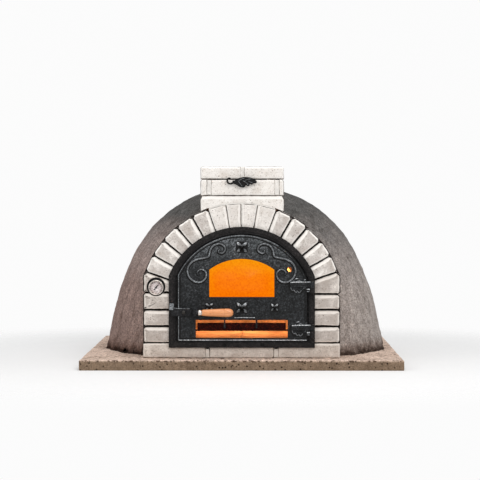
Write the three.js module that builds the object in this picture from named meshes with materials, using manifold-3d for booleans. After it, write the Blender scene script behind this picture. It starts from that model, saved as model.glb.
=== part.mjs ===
// Wood fired oven: masonry dome on a square slab, brick front arch with a short
// chimney, cast iron frame and glazed door. Millimetres, +Z up, front faces -Y.
import * as THREE from 'three';
import { mergeVertices } from 'three/addons/utils/BufferGeometryUtils.js';
import Module from 'manifold-3d';

const wasm = await Module();
wasm.setup();

// ---- driving dimensions (heights are above the slab top) ----
const SLAB = 1300;            // slab width and depth
const SLAB_T = 42;            // slab thickness
const GAP = 0.3;              // clearance between touching pieces
const DOME_X = 11.5;          // dome axis, right of the slab centre
const DOME_Y = 15;            // dome axis, behind the slab centre
const DOME = [[600, 0], [596, 24], [590, 50], [577, 110], [563, 175], [544.5, 248], [519.5, 315],
  [489.5, 385], [455.5, 446], [412, 507], [360, 563], [304, 608], [243, 644], [182, 668], [118, 684], [60, 691], [0, 693]];
const RENDER_T = 25;          // cement render
const WOOL_T = 45;            // insulation blanket
const VAULT_T = 65;           // firebrick vault
const FLOOR_H = 60;           // hearth top above the slab
const TILE_T = 30;            // hearth tile
const FACE_Y = -555;          // brick front plane
const HEAD_Y = -335;          // rear of the arch bricks
const ARCH_C = 213.2;         // arch centre height
const ARCH_RI = 300;          // arch intrados
const ARCH_RO = 415;          // arch extrados
const COL_IN = 280;           // inner side of the columns
const COL_OUT = 398.8;        // outer side of the columns
const MOUTH_W = 225;          // half width of the vault mouth
const MOUTH_TOP = 430;        // crown of the vault mouth
const FLUE = { x: 90, y0: -440, y1: -340 };
const CHIM = { x0: -166.5, x1: 170.5, y1: -218, lintel0: 594, lintel1: 656.4, mid: 722.8, top: 774.5 };
const FR = { xl: -294, xr: 295.6, R: 317.8, zb: 42.4, y0: -564.3 };     // frame outline
const LEAF = { xl: -256.4, xr: 264.5, R: 284.7, zb: 71.5, y0: -566, y1: -556 };
const WIN = { x0: -130.4, x1: 132, z0: 247.6, z1: 357.8, top: 401.4 };  // window
const SLOT = { x0: -185, x1: 185.7, z0: 81.2, z1: 154.7 };              // draught slot
const ROD = { y: -556, z: 113.5, r: 3.6 };                              // draught flap rod
const HINGE = { x: 286, y: -574.5, r: 8.5, pin: 4 };
const LATCH = { x: -233, z: 186, y: -571 };
const DIAL = { x: -346, z: 285, r: 30.5, recess: 34.5 };

// ---- materials ----
const M = (c, r, m) => new THREE.MeshStandardMaterial({ color: c, roughness: r, metalness: m });
const MAT = {
  slab: () => M(0x9a8676, 0.9, 0), brick: () => M(0xd9d2ca, 0.85, 0), render: () => M(0x7d7875, 0.95, 0),
  fire: () => M(0xcdb79a, 0.9, 0), wool: () => M(0xe8e4da, 1, 0), iron: () => M(0x33363a, 0.55, 0.7),
  glass: () => M(0xff8206, 0.15, 0), wood: () => M(0xdc9a66, 0.5, 0), steel: () => M(0xc9c4bd, 0.3, 1),
  dial: () => M(0xe9dcd9, 0.6, 0), board: () => M(0xd8d0c0, 0.95, 0), red: () => M(0x1d1b1b, 0.5, 0.3),
  clear: () => M(0xdfe8ea, 0.05, 0), bright: () => M(0xb9b6b1, 0.3, 1),
};

// ---- closed solids ----
function clean(g) {
  let q = g.index ? g.toNonIndexed() : g;
  q = q.clone();
  for (const k of Object.keys(q.attributes)) if (k !== 'position') q.deleteAttribute(k);
  q = mergeVertices(q, 1e-4);
  const ix = q.index.array, keep = [];
  for (let i = 0; i < ix.length; i += 3) {
    const [a, b, c] = [ix[i], ix[i + 1], ix[i + 2]];
    if (a !== b && b !== c && a !== c) keep.push(a, b, c);
  }
  return { pos: new Float32Array(q.attributes.position.array), ix: new Uint32Array(keep) };
}
function solid(g) {
  const c = clean(g);
  let vol = 0;
  const p = c.pos;
  for (let i = 0; i < c.ix.length; i += 3) {
    const [a, b, d] = [c.ix[i] * 3, c.ix[i + 1] * 3, c.ix[i + 2] * 3];
    vol += p[a] * (p[b + 1] * p[d + 2] - p[b + 2] * p[d + 1]) - p[a + 1] * (p[b] * p[d + 2] - p[b + 2] * p[d])
      + p[a + 2] * (p[b] * p[d + 1] - p[b + 1] * p[d]);
  }
  if (vol < 0) for (let i = 0; i < c.ix.length; i += 3) [c.ix[i + 1], c.ix[i + 2]] = [c.ix[i + 2], c.ix[i + 1]];
  return new wasm.Manifold(new wasm.Mesh({ numProp: 3, vertProperties: c.pos, triVerts: c.ix }));
}
function geometry(m) {
  const k = m.getMesh();
  const g = new THREE.BufferGeometry();
  const n = k.numProp, out = new Float32Array(k.vertProperties.length / n * 3);
  for (let i = 0; i < out.length / 3; i++) for (let j = 0; j < 3; j++) out[i * 3 + j] = k.vertProperties[i * n + j];
  g.setAttribute('position', new THREE.BufferAttribute(out, 3));
  g.setIndex(new THREE.BufferAttribute(new Uint32Array(k.triVerts), 1));
  g.computeVertexNormals();
  return g;
}
// rings of equal point counts joined into one closed solid with flat convex ends
function stack(rings) {
  const n = rings[0].length, pos = [], ix = [];
  for (const r of rings) for (const p of r) pos.push(...p);
  for (let k = 0; k + 1 < rings.length; k++)
    for (let i = 0; i < n; i++) {
      const a = k * n + i, b = k * n + (i + 1) % n, c = a + n, d = b + n;
      ix.push(a, b, d, a, d, c);
    }
  const t = (rings.length - 1) * n;
  for (let i = 1; i + 1 < n; i++) { ix.push(0, i + 1, i); ix.push(t, t + i, t + i + 1); }
  const g = new THREE.BufferGeometry();
  g.setAttribute('position', new THREE.Float32BufferAttribute(pos, 3));
  g.setIndex(ix);
  return solid(g);
}
const box = (x0, x1, y0, y1, z0, z1) => {
  const g = new THREE.BoxGeometry(x1 - x0, y1 - y0, z1 - z0);
  g.translate((x0 + x1) / 2, (y0 + y1) / 2, (z0 + z1) / 2);
  return solid(g);
};
// outline in x,z carried from y0 to y1
function plate(pts, y0, y1, holes = []) {
  const s = new THREE.Shape(pts.map((p) => new THREE.Vector2(p[0], p[1])));
  for (const h of holes) s.holes.push(new THREE.Path(h.map((p) => new THREE.Vector2(p[0], p[1]))));
  const g = new THREE.ExtrudeGeometry(s, { depth: y1 - y0, bevelEnabled: false });
  g.rotateX(Math.PI / 2);
  g.translate(0, y1, 0);
  return solid(g);
}
// profile [r, h] turned about an axis; dir 'z' or 'y' (h measured towards -y)
function turned(pts, seg, dir, x = 0, y = 0, z = 0) {
  const g = new THREE.LatheGeometry(pts.map((p) => new THREE.Vector2(p[0], p[1])), seg);
  if (dir === 'z') g.rotateX(Math.PI / 2);
  if (dir === 'y') g.rotateX(Math.PI);       // h -> -h
  if (dir === 'y') { g.rotateX(0); }
  if (dir === 'x') g.rotateZ(-Math.PI / 2);
  g.translate(x, y, z);
  return solid(g);
}
const rod = (axis, r, a, b, u, v, seg = 16) => {
  const g = new THREE.CylinderGeometry(r, r, b - a, seg);
  if (axis === 'x') { g.rotateZ(Math.PI / 2); g.translate((a + b) / 2, u, v); }
  if (axis === 'y') g.translate(u, (a + b) / 2, v);
  if (axis === 'z') { g.rotateX(Math.PI / 2); g.translate(u, v, (a + b) / 2); }
  return solid(g);
};
// disc profile about the y axis, [r, d] with d the distance in front of y0
function turnedY(pts, seg, x, y0, z) {
  const g = new THREE.LatheGeometry(pts.map((p) => new THREE.Vector2(p[0], -p[1])), seg);
  g.translate(x, y0, z);
  return solid(g);
}
const tube = (pts, r, steps, side = 6) => {
  const c = new THREE.CatmullRomCurve3(pts.map((p) => new THREE.Vector3(...p)));
  const s = new THREE.Shape();
  for (let i = 0; i < side; i++) {
    const a = (i / side) * 2 * Math.PI;
    if (i) s.lineTo(r * Math.cos(a), r * Math.sin(a)); else s.moveTo(r, 0);
  }
  return solid(new THREE.ExtrudeGeometry(s, { steps, extrudePath: c, bevelEnabled: false }));
};
const join = (...m) => m.reduce((a, b) => a.add(b));
const cut = (m, ...t) => t.reduce((a, b) => a.subtract(b), m);

// convex outline with each edge moved in by its own amount (edge i joins point i to i+1)
function inset(poly, d) {
  const n = poly.length, out = [];
  let area = 0;
  for (let i = 0; i < n; i++) { const [a, b] = [poly[i], poly[(i + 1) % n]]; area += a[0] * b[1] - b[0] * a[1]; }
  const s = area > 0 ? 1 : -1;
  const line = (i) => {
    const a = poly[i], b = poly[(i + 1) % n], dx = b[0] - a[0], dy = b[1] - a[1], L = Math.hypot(dx, dy);
    const nx = -dy / L * s, ny = dx / L * s, e = Array.isArray(d) ? d[i] : d;
    return { x: a[0] + nx * e, y: a[1] + ny * e, dx, dy };
  };
  for (let i = 0; i < n; i++) {
    const p = line((i + n - 1) % n), q = line(i), det = p.dx * q.dy - p.dy * q.dx;
    const t = ((q.x - p.x) * q.dy - (q.y - p.y) * q.dx) / det;
    out.push([p.x + p.dx * t, p.y + p.dy * t]);
  }
  return out;
}
// dressed brick: raked joint round the face, then a bevel of its own width on each edge
function brick(poly, y0, y1, bevel, rake = 2, depth = 5) {
  const at = (q, y) => q.map((p) => [p[0], y, p[1]]);
  const i1 = inset(poly, rake), i2 = inset(i1, bevel);
  return stack([at(poly, y1), at(poly, y0 + 12), at(i1, y0 + 12), at(i1, y0 + depth), at(i2, y0)]);
}
// cuts corners off an outline before it is dressed; nips maps a corner to its cut
function nipped(poly, bevel, nips, rake) {
  const n = poly.length, P = [], B = [];
  for (let i = 0; i < n; i++) {
    const p = poly[i], e1 = bevel[(i + n - 1) % n], e2 = bevel[i], d = nips[i];
    if (!d) { P.push(p); B.push(e2); continue; }
    const to = (q) => { const L = Math.hypot(q[0] - p[0], q[1] - p[1]); return [p[0] + (q[0] - p[0]) / L * d, p[1] + (q[1] - p[1]) / L * d]; };
    P.push(to(poly[(i + n - 1) % n]), to(poly[(i + 1) % n]));
    B.push(Math.max(2, (e1 + e2 - d) * 0.7071 - rake * 0.41 + 2.5), e2);
  }
  return [P, B];
}
const arch = (xl, xr, R, zb, n = 28, cz = ARCH_C) => {
  const a0 = Math.asin(xr / R), a1 = Math.asin(xl / R), p = [[xl, zb], [xr, zb]];
  for (let i = 0; i <= n; i++) {
    const a = a0 + (a1 - a0) * i / n;
    p.push([R * Math.sin(a), cz + R * Math.cos(a)]);
  }
  return p;
};

// ---- assembly ----
const root = new THREE.Group();
root.name = 'wood_fired_oven';
const up = new THREE.Group();
up.name = 'on_slab';
up.position.z = SLAB_T;
root.add(up);
const put = (name, m, mat) => {
  const mesh = new THREE.Mesh(geometry(m), MAT[mat]());
  mesh.name = name;
  up.add(mesh);
};

// slab
{
  const h = SLAB / 2, sq = (d, z) => [[-h + d, -h + d, z], [h - d, -h + d, z], [h - d, h - d, z], [-h + d, h - d, z]];
  put('base_slab', stack([sq(4, -SLAB_T), sq(0, -SLAB_T + 4), sq(0, -4), sq(4, 0)]), 'slab');
}

// dome shells: the outer profile carried inward along its own normal
function offset(d, N = 12) {
  const c = new THREE.SplineCurve(DOME.map((p) => new THREE.Vector2(...p)));
  const q = [];
  for (let i = 0; i <= N; i++) {
    const t = i / N, p = c.getPoint(t), u = c.getTangent(t);
    q.push([p.x - u.y * d, p.y + u.x * d]);
  }
  q[0] = [q[0][0], 0];
  q[N] = [0, DOME[DOME.length - 1][1] - d];
  return q.filter((p, i) => i === N || p[0] > 6);
}
function dome(d, seg, zb, N = 12) {
  const q = offset(d, N);
  return turned([[0, zb], [q[0][0], zb], ...q], seg, 'z', DOME_X, DOME_Y, 0);
}
const T1 = RENDER_T, T2 = T1 + WOOL_T, T3 = T2 + VAULT_T;
const archEnv = plate(arch(-COL_OUT - 0.7, COL_OUT + 0.7, ARCH_RO + 0.7, -5, 40), -700, HEAD_Y + GAP);
const chimEnv = box(CHIM.x0 - 0.5, CHIM.x1 + 0.5, -700, CHIM.y1 + 0.5, CHIM.lintel0 - 0.5, 900);
const legEnv = box(-110.5, 110.5, -400, -294.5, 455, 600);
const stemHole = rod('y', 3.6, -600, -100, DIAL.x, DIAL.z, 12);
const mouthPts = (() => {
  const p = [[-MOUTH_W, FLOOR_H - 80], [MOUTH_W, FLOOR_H - 80]], R = MOUTH_W, c = MOUTH_TOP - 150;
  for (let i = 0; i <= 16; i++) { const a = Math.PI / 2 - Math.PI * i / 16; p.push([R * Math.sin(a), c + 150 * Math.cos(a)]); }
  return p;
})();
const mouth = plate(mouthPts, -600, -150);
put('outer_render', cut(dome(0, 48, 0, 14), dome(T1, 48, -5, 8), archEnv, chimEnv, legEnv, stemHole), 'render');
put('insulation_blanket', cut(dome(T1 + GAP + 1.2, 36, 0.3, 8), dome(T2, 36, -5, 8), archEnv, legEnv, mouth, chimEnv, stemHole), 'wool');
const vault = cut(dome(T2 + GAP, 36, 0.3, 8), dome(T3, 36, -5, 8), archEnv, mouth, legEnv, stemHole);
put('vault_course_1', vault.intersect(box(-700, 700, -700, 700, -1, 180)), 'fire');
put('vault_course_2_left', vault.intersect(box(-700, DOME_X - 0.2, -700, 700, 180.3, 345)), 'fire');
put('vault_course_2_right', vault.intersect(box(DOME_X + 0.2, 700, -700, 700, 180.3, 345)), 'fire');
put('vault_crown', vault.intersect(box(-700, 700, -700, 700, 345.3, 700)), 'fire');

// hearth inside the vault ring
{
  const disc = (r, z0, z1) => turned([[0, z0], [r, z0], [r, z1], [0, z1]], 36, 'z', DOME_X, DOME_Y, 0);
  const rIn = 450, keep = box(-700, 700, HEAD_Y + 0.6, 700, -5, 200);
  put('hearth_insulation', disc(rIn, 0.3, FLOOR_H - TILE_T - GAP).intersect(keep), 'board');
  const tiles = disc(rIn - 9, FLOOR_H - TILE_T, FLOOR_H - 0.3).intersect(keep);
  put('hearth_tile_left', tiles.intersect(box(-700, -0.4, -700, 700, -5, 200)), 'fire');
  put('hearth_tile_right', tiles.intersect(box(0.4, 700, -700, 700, -5, 200)), 'fire');
}

// base course under the arch
const poly4 = (x0, x1, z0, z1, z0b = z0, z1b = z1) => [[x0, z0], [x1, z0b], [x1, z1b], [x0, z1]];
put('base_block_left', brick(poly4(-COL_OUT, -138.6, 0.3, 60), FACE_Y, HEAD_Y, [1, 7, 7, 5], 1.2), 'brick');
put('base_block_centre', brick(poly4(-138.2, 138.7, 0.3, 60), FACE_Y, HEAD_Y, [1, 7, 7, 7], 1.2), 'brick');
put('base_block_right', brick(poly4(139.1, COL_OUT, 0.3, 60), FACE_Y, HEAD_Y, [1, 5, 7, 7], 1.2), 'brick');

// columns: bottom, right, top, left bevels
const recess = rod('y', DIAL.recess, -600, FACE_Y + 16, DIAL.x, DIAL.z, 32);
const slope = (x) => ARCH_C + Math.abs(x) / Math.tan(70.6 * Math.PI / 180);
for (const [side, s, z4] of [['left', -1, 264.5], ['right', 1, 258.9]]) {
  const lv = [60.4, 128.2, 195.3, z4];
  const xs = s < 0 ? [-COL_OUT, -COL_IN] : [COL_IN, COL_OUT];
  for (let i = 0; i < 4; i++) {
    const z0 = lv[i] + (i ? 0.2 : 0);
    const p = i < 3 ? poly4(xs[0], xs[1], z0, lv[i + 1] - 0.2) : poly4(xs[0], xs[1], z0, slope(xs[0]) - 0.3, z0, slope(xs[1]) - 0.3);
    const top = i < 3 ? 9 : 18;
    const [P, B] = s < 0 ? nipped(p, [4, 3, 12, 6], { 0: 6, 3: top }, 2.8) : nipped(p, [4, 6, 12, 3], { 1: 6, 2: top }, 2.8);
    let b = brick(P, FACE_Y, HEAD_Y, B, 2.8);
    if (s < 0 && i >= 2) b = cut(b, recess);
    if (s < 0 && i === 3) b = cut(b, stemHole);
    put(`column_${side}_${i + 1}`, b, 'brick');
  }
}

// arch: fourteen tapered bricks, joint angles from the vertical
const JOINTS = [-70.6, -60.4, -50.2, -39.7, -29.3, -19.1, -8.8, -0.3, 8.9, 19.7, 30.0, 40.0, 50.8, 60.7, 70.6];
const WEDGE_R = [415, 414, 415, 413, 414, 412, 411, 411, 412, 413, 415, 413, 415, 414];
for (let i = 0; i < 14; i++) {
  const d = 0.15 / 360, a0 = JOINTS[i] * Math.PI / 180 + d * 2, a1 = JOINTS[i + 1] * Math.PI / 180 - d * 2;
  const P = (r, a) => [r * Math.sin(a), ARCH_C + r * Math.cos(a)];
  const R = WEDGE_R[i], yb = i >= 5 && i <= 8 ? FLUE.y0 - 1 : HEAD_Y;
  const poly = [P(ARCH_RI, a0), P(ARCH_RI, a1), P(R, a1), P(R, a0)];
  const crown = i >= 5 && i <= 8;
  const bev = i < 7 ? [3, crown ? 9 : 12, 5, 4] : [3, 4, 5, crown ? 9 : 12];
  const rake = crown ? 1.1 : 1.8;
  const [Q, B] = nipped(poly, bev, crown ? {} : { 2: 11, 3: 11 }, rake);
  put(`voussoir_${String(i + 1).padStart(2, '0')}`, brick(Q, FACE_Y, yb, B, rake), 'brick');
}

// chimney: cast lintel over the crown bricks, two courses of block, damper slot between them
const flue = box(-FLUE.x, FLUE.x, FLUE.y0, FLUE.y1, 300, 900);
const extrados = plate(arch(-410, 410, ARCH_RO + 0.6, -50, 56), -700, HEAD_Y + 1);
{
  const ch = brick([[CHIM.x0, CHIM.lintel0], [CHIM.x1, CHIM.lintel0], [CHIM.x1, 640], [CHIM.x1 - 8, CHIM.lintel1], [CHIM.x0 + 8, CHIM.lintel1], [CHIM.x0, 640]],
    FACE_Y, CHIM.y1, [1, 3, 3, 12, 3, 3], 1.2);
  const leg = box(-110, 110, HEAD_Y + 1, -295, 470, CHIM.lintel0 + 5);
  // skirt carried down from the block on to the render
  const skirt = cut(box(CHIM.x0 + 1, CHIM.x1 - 1, HEAD_Y + 1, CHIM.y1 - 1, 480, CHIM.lintel0 + 4),
    dome(-0.6, 48, -5, 14).intersect(box(-700, 700, -700, 700, -10, CHIM.lintel0 + 1)));
  put('chimney_lintel', cut(join(ch, leg, skirt), flue, extrados), 'brick');
}
const slot = box(-103, 103, -600, CHIM.y1 - 7, CHIM.mid - 2.5, CHIM.mid + 2.5);
{
  const z0 = CHIM.lintel1 + 0.4, z1 = CHIM.mid - 0.2, midY = -390;
  const side = (x0, x1, bev) => brick(poly4(x0, x1, z0, z1), FACE_Y, CHIM.y1, bev, 1.2);
  put('chimney_lower_left', side(CHIM.x0, -131.7, [4, 8, 4, 5]), 'brick');
  put('chimney_lower_right', side(142.5, CHIM.x1, [4, 5, 4, 8]), 'brick');
  const front = brick(poly4(-131.3, 142.1, z0, z1), FACE_Y, midY - 0.2, [4, 8, 4, 8], 1.2);
  put('chimney_lower_front', cut(front, flue, slot), 'brick');
  put('chimney_lower_back', cut(box(-131.3, 142.1, midY + 0.2, CHIM.y1, z0, z1), flue, slot), 'brick');
  const u0 = CHIM.mid + 0.2, u1 = CHIM.top;
  put('chimney_upper_left', cut(brick(poly4(CHIM.x0, 2.8, u0, u1), FACE_Y, CHIM.y1, [4, 8, 5, 5], 1.2), flue, slot), 'brick');
  put('chimney_upper_right', cut(brick(poly4(3.2, CHIM.x1, u0, u1), FACE_Y, CHIM.y1, [4, 5, 5, 8], 1.2), flue, slot), 'brick');
}

// damper: sliding plate with its opening over the flue, stem and cast leaf pull in front
const LEAF_PULL = [[-34, 705], [-21, 699.5], [-9, 692], [0, 688.8], [9, 689], [15.5, 694], [17.5, 701.5], [21, 695.5], [27, 694], [31.5, 698],
  [33.5, 703.5], [39, 701], [46, 702.6], [51, 706.4], [56.5, 706], [60, 707.6], [61.8, 711.6], [59.4, 716.4], [53, 721.4], [44.5, 726.4], [33, 730],
  [20, 731.6], [6, 731.2], [-6, 728], [-18, 722.4], [-29, 717.6], [-38, 716.4]];
const LEAF_CURL = [[-31, 711], [-38, 706.4], [-46, 704], [-53, 706.4], [-57, 712], [-57.4, 719], [-54, 725], [-48.6, 727], [-45.4, 723.4]];
const LEAF_VEINS = [[[-31, 711.4], [-8, 716.6], [16, 716.6], [38, 713.6], [56, 711.8]], [[-14, 715.4], [-5, 704], [2, 694]], [[6, 716.4], [18, 708.6], [26, 699.4]],
  [[26, 715], [38, 710], [45, 706]], [[-12, 716], [0, 723.4], [12, 727.4]], [[12, 716.8], [26, 722], [38, 724]]];
{
  const zp = CHIM.mid, t = 2.1;
  let m = box(-101, 101, FACE_Y + 14, CHIM.y1 - 9, zp - t, zp + t);
  m = cut(m, box(-FLUE.x + 2, FLUE.x - 2, FLUE.y0 + 2, FLUE.y1 - 2, zp - 9, zp + 9));
  const off = (p, d) => p.map(([x, z]) => [x + (3 - x) * d, z + (711 - z) * d]);
  m = join(m, box(-9, 15, -566, FACE_Y + 16, zp - 2, zp + 2), plate(LEAF_PULL, -569.5, -563), plate(off(LEAF_PULL, 0.12), -572, -569));
  m = join(m, tube(LEAF_CURL.map(([x, z]) => [x, -567.5, z]), 4.2, 16, 6));
  for (const v of LEAF_VEINS) m = join(m, tube(v.map(([x, z]) => [x, -572, z]), 1.5, 6, 4));
  put('damper', m, 'iron');
}

// frame: flange on the brick face, stop ring behind the leaf, collar into the throat
{
  const inner = arch(-267.5, 271, 291.5, 68.5);
  let f = plate(arch(FR.xl, FR.xr, FR.R, FR.zb), FR.y0, FACE_Y - GAP, [inner]);
  f = join(f, plate(arch(FR.xl + 4, FR.xr - 4, FR.R - 4, FR.zb + 4), FR.y0 - 1.7, FR.y0 + 1, [arch(-275.5, 279, 299.5, 62)]));
  f = join(f, plate(arch(-277, 277, 296.5, 61.5), -556, -549, [arch(-249, 256, 274, 77)]));
  f = join(f, plate(arch(-277, 277, 296.5, 61.5), -550, -480, [arch(-270, 270, 289.5, 67)]));
  for (const x of [-67, 83]) f = cut(f, box(x - 6, x + 6, -580, -560.5, 49, 60));
  for (const [z0, z1, lo] of [[263, 287, 240], [83, 110, 83]]) {
    f = join(f, box(275, 295, HINGE.y, FR.y0 + 0.5, z0, z1), rod('z', HINGE.r, z0, z1, HINGE.x, HINGE.y, 18));
    if (lo < z0) f = join(f, box(279, 292, -572, FR.y0 + 0.5, lo, z0 + 1));
  }
  for (const [z0, z1] of [[230, 300], [70, 130]]) f = cut(f, rod('z', HINGE.pin + GAP, z0, z1, HINGE.x, HINGE.y, 14));
  put('door_frame', f, 'iron');
}

// door leaf
const px = (u, v) => [(u - 242.2) * 4.038, 656.6 - (v - 195.5) * 4.038];
const SCROLL = [[221, 249.3], [219.3, 250.2], [219.6, 252.2], [222, 253], [224.8, 251.6], [226, 248.6], [224, 245],
  [219.3, 243.6], [214.2, 245.4], [211.3, 249], [210.2, 253.2], [209, 256.4], [204, 257.8], [197, 259.4], [191.6, 262.8],
  [188.7, 267.6], [188.4, 272.5], [190.6, 277.6], [195.2, 281.2], [200.4, 282], [204.6, 279.8], [207, 275.8], [206.4, 271.6],
  [203, 269.2], [199.8, 269.9], [198, 272.4], [199.4, 274.8]];
const windowArc = (d, n = 14) => {
  const x0 = WIN.x0 - d, x1 = WIN.x1 + d, z0 = WIN.z0 - d, z1 = WIN.z1 + d * 0.6, top = WIN.top + d;
  const w = (x1 - x0) / 2, s = top - z1, R = (w * w + s * s) / (2 * s), c = top - R, m = (x0 + x1) / 2, a = Math.asin(w / R);
  const p = [[x0, z0], [x1, z0]];
  for (let i = 0; i <= n; i++) { const t = a - 2 * a * i / n; p.push([m + R * Math.sin(t), c + R * Math.cos(t)]); }
  return p;
};
const PETAL = (x, z, r, h, y0) => {
  const ring = (k, d, c) => Array.from({ length: 16 }, (_, i) => {
    const a = i / 16 * 2 * Math.PI + Math.PI / 16, q = r * k * (1 + c * Math.cos(4 * a));
    return [x + q * Math.cos(a + Math.PI / 4), y0 - d, z + q * Math.sin(a + Math.PI / 4)];
  });
  return stack([ring(1, -2, 0.12), ring(1, h * 0.2, 0.12), ring(0.82, h * 0.5, 0.1), ring(0.5, h * 0.55, 0), ring(0.34, h * 0.9, 0), ring(0.16, h, 0)]);
};
{
  const Y0 = LEAF.y0, Y1 = LEAF.y1;
  const out = arch(LEAF.xl, LEAF.xr, LEAF.R, LEAF.zb);
  const slotPts = [[SLOT.x0, SLOT.z0], [SLOT.x1, SLOT.z0], [SLOT.x1, SLOT.z1], [SLOT.x0, SLOT.z1]];
  let m = plate(out, Y0, Y1, [windowArc(0), slotPts]);
  // raised edge bead and window moulding
  m = join(m, plate(arch(LEAF.xl + 1.5, LEAF.xr - 1.5, LEAF.R - 1.5, LEAF.zb + 1.5), Y0 - 2, Y0 + 1, [arch(LEAF.xl + 6.5, LEAF.xr - 6.5, LEAF.R - 6.5, LEAF.zb + 6)]));
  m = join(m, plate(windowArc(7), Y0 - 2, Y0 + 1, [windowArc(1.5)]));
  // two bars in the upper half of the slot
  for (const x of [-68.6, 60.2]) m = join(m, box(x - 3.5, x + 3.5, Y0, Y0 + 4.8, 121.6, SLOT.z1 + 2));
  // ledge over the slot
  m = join(m, box(-29, 54.5, Y0 - 5, Y0 + 1, 161.5, 166));
  // studs
  m = join(m, PETAL(1, 448.6, 25, 12, Y0), PETAL(1, 204.4, 25, 12, Y0), PETAL(-130, 208, 19, 10, Y0), PETAL(133, 206, 19, 10, Y0));
  // scroll mouldings, one each side
  for (const s of [1, -1]) {
    m = join(m, tube(SCROLL.map(([u, v]) => { const q = px(u, v); return [s * q[0], Y0 - 0.6, q[1]]; }), 3.3, 46, 5));
  }
  // hinge straps with their barrels
  for (const [z0, z1, w] of [[287.3, 309, 1], [113.5, 134, -1]]) {
    const zc = (z0 + z1) / 2, x0 = w > 0 ? 196 : 202;
    m = join(m, plate([[x0, z0 + 2], [250, z0], [HINGE.x, z0], [HINGE.x, z1], [250, z1], [x0, z1 - 2]], Y0 - 5.5, Y0 - (0.2), []),
      rod('z', HINGE.r, z0, z1, HINGE.x, HINGE.y, 18), box(x0 + 6, 262, Y0 - 5, Y0 + 1, z0 + 2.5, z1 - 2.5));
    // leaf relief above and below each strap
    for (const [dx, dz, a, c, t] of [[26, 19, 26, 6, 8], [48, 17, 20, 5, -10], [22, -17, 20, 6, -12], [44, -19, 16, 6, 10]]) {
      const g = new THREE.SphereGeometry(1, 8, 4);
      g.scale(a, 3.6, c); g.rotateY(-t * Math.PI / 180); g.translate(x0 + dx, Y0, zc + dz);
      m = join(m, solid(g));
    }
  }
  m = cut(m, rod('z', HINGE.pin + GAP, 280, 320, HINGE.x, HINGE.y, 14), rod('z', HINGE.pin + GAP, 111, 140, HINGE.x, HINGE.y, 14));
  // pivot bosses of the draught flap behind the leaf
  for (const x of [SLOT.x0 - 12, SLOT.x1 + 1]) m = join(m, box(x, x + 11, Y1 - 1, ROD.y + 9, ROD.z - 9, ROD.z + 9));
  m = cut(m, rod('x', ROD.r + GAP, -194, 194, ROD.y, ROD.z, 14));
  // spy hole, latch pivot hole
  m = cut(m, rod('y', 9.5, -600, -500, 193.8, 359, 20), rod('y', 5.3, -600, -500, LATCH.x, LATCH.z, 14));
  // small stud on the latch side
  m = join(m, turnedY([[0, -2], [5, -2], [5, 2], [3, 4], [0, 4.6]], 12, -163.5, Y0, 251.6));
  put('door_leaf', m, 'iron');
}
// window glass behind the leaf and the retainer that clamps it
put('window_glass', plate(windowArc(9), LEAF.y1 + GAP, LEAF.y1 + 4.3), 'glass');
put('glass_retainer', cut(plate(windowArc(16), LEAF.y1 + GAP, LEAF.y1 + 7, [windowArc(1)]), plate(windowArc(9.5), LEAF.y1 - 5, LEAF.y1 + 4.6)), 'iron');

// draught flap: plate on a rod, leaning on the back of the bars
{
  const L = 30, tilt = Math.atan2(3.6, 28.5);
  let m = rod('x', ROD.r, -193, 193, ROD.y, ROD.z, 14);
  const a = [Math.sin(-tilt), Math.cos(tilt)], n = [Math.cos(tilt), Math.sin(tilt)];
  const P = (l, w) => [ROD.y + a[0] * l + n[0] * w, ROD.z + a[1] * l + n[1] * w];
  const q = [P(0, -1.1), P(L, -1.1), P(L, 1.1), P(0, 1.1)];
  const xs = [-178.5, 178.5];
  m = join(m, stack(xs.map((x) => q.map(([y, z]) => [x, y, z]))));
  for (const x of [-51, -31, 46]) m = join(m, turnedY([[0, -1], [3.4, -1], [3.4, 4.2], [2, 5.4], [0, 5.6]], 10, x, ROD.y, ROD.z));
  put('draught_flap', m, 'iron');
}

// hinge pins
for (const [n, z0, z1] of [['hinge_pin_upper', 258, 309.4], ['hinge_pin_lower', 78, 134.4]]) {
  put(n, turned([[0, z0], [HINGE.pin, z0], [HINGE.pin, z1], [6.2, z1], [6.2, z1 + 2.5], [4.5, z1 + 4], [0, z1 + 4.4]], 14, 'z', HINGE.x, HINGE.y, 0), 'bright');
}

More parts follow.
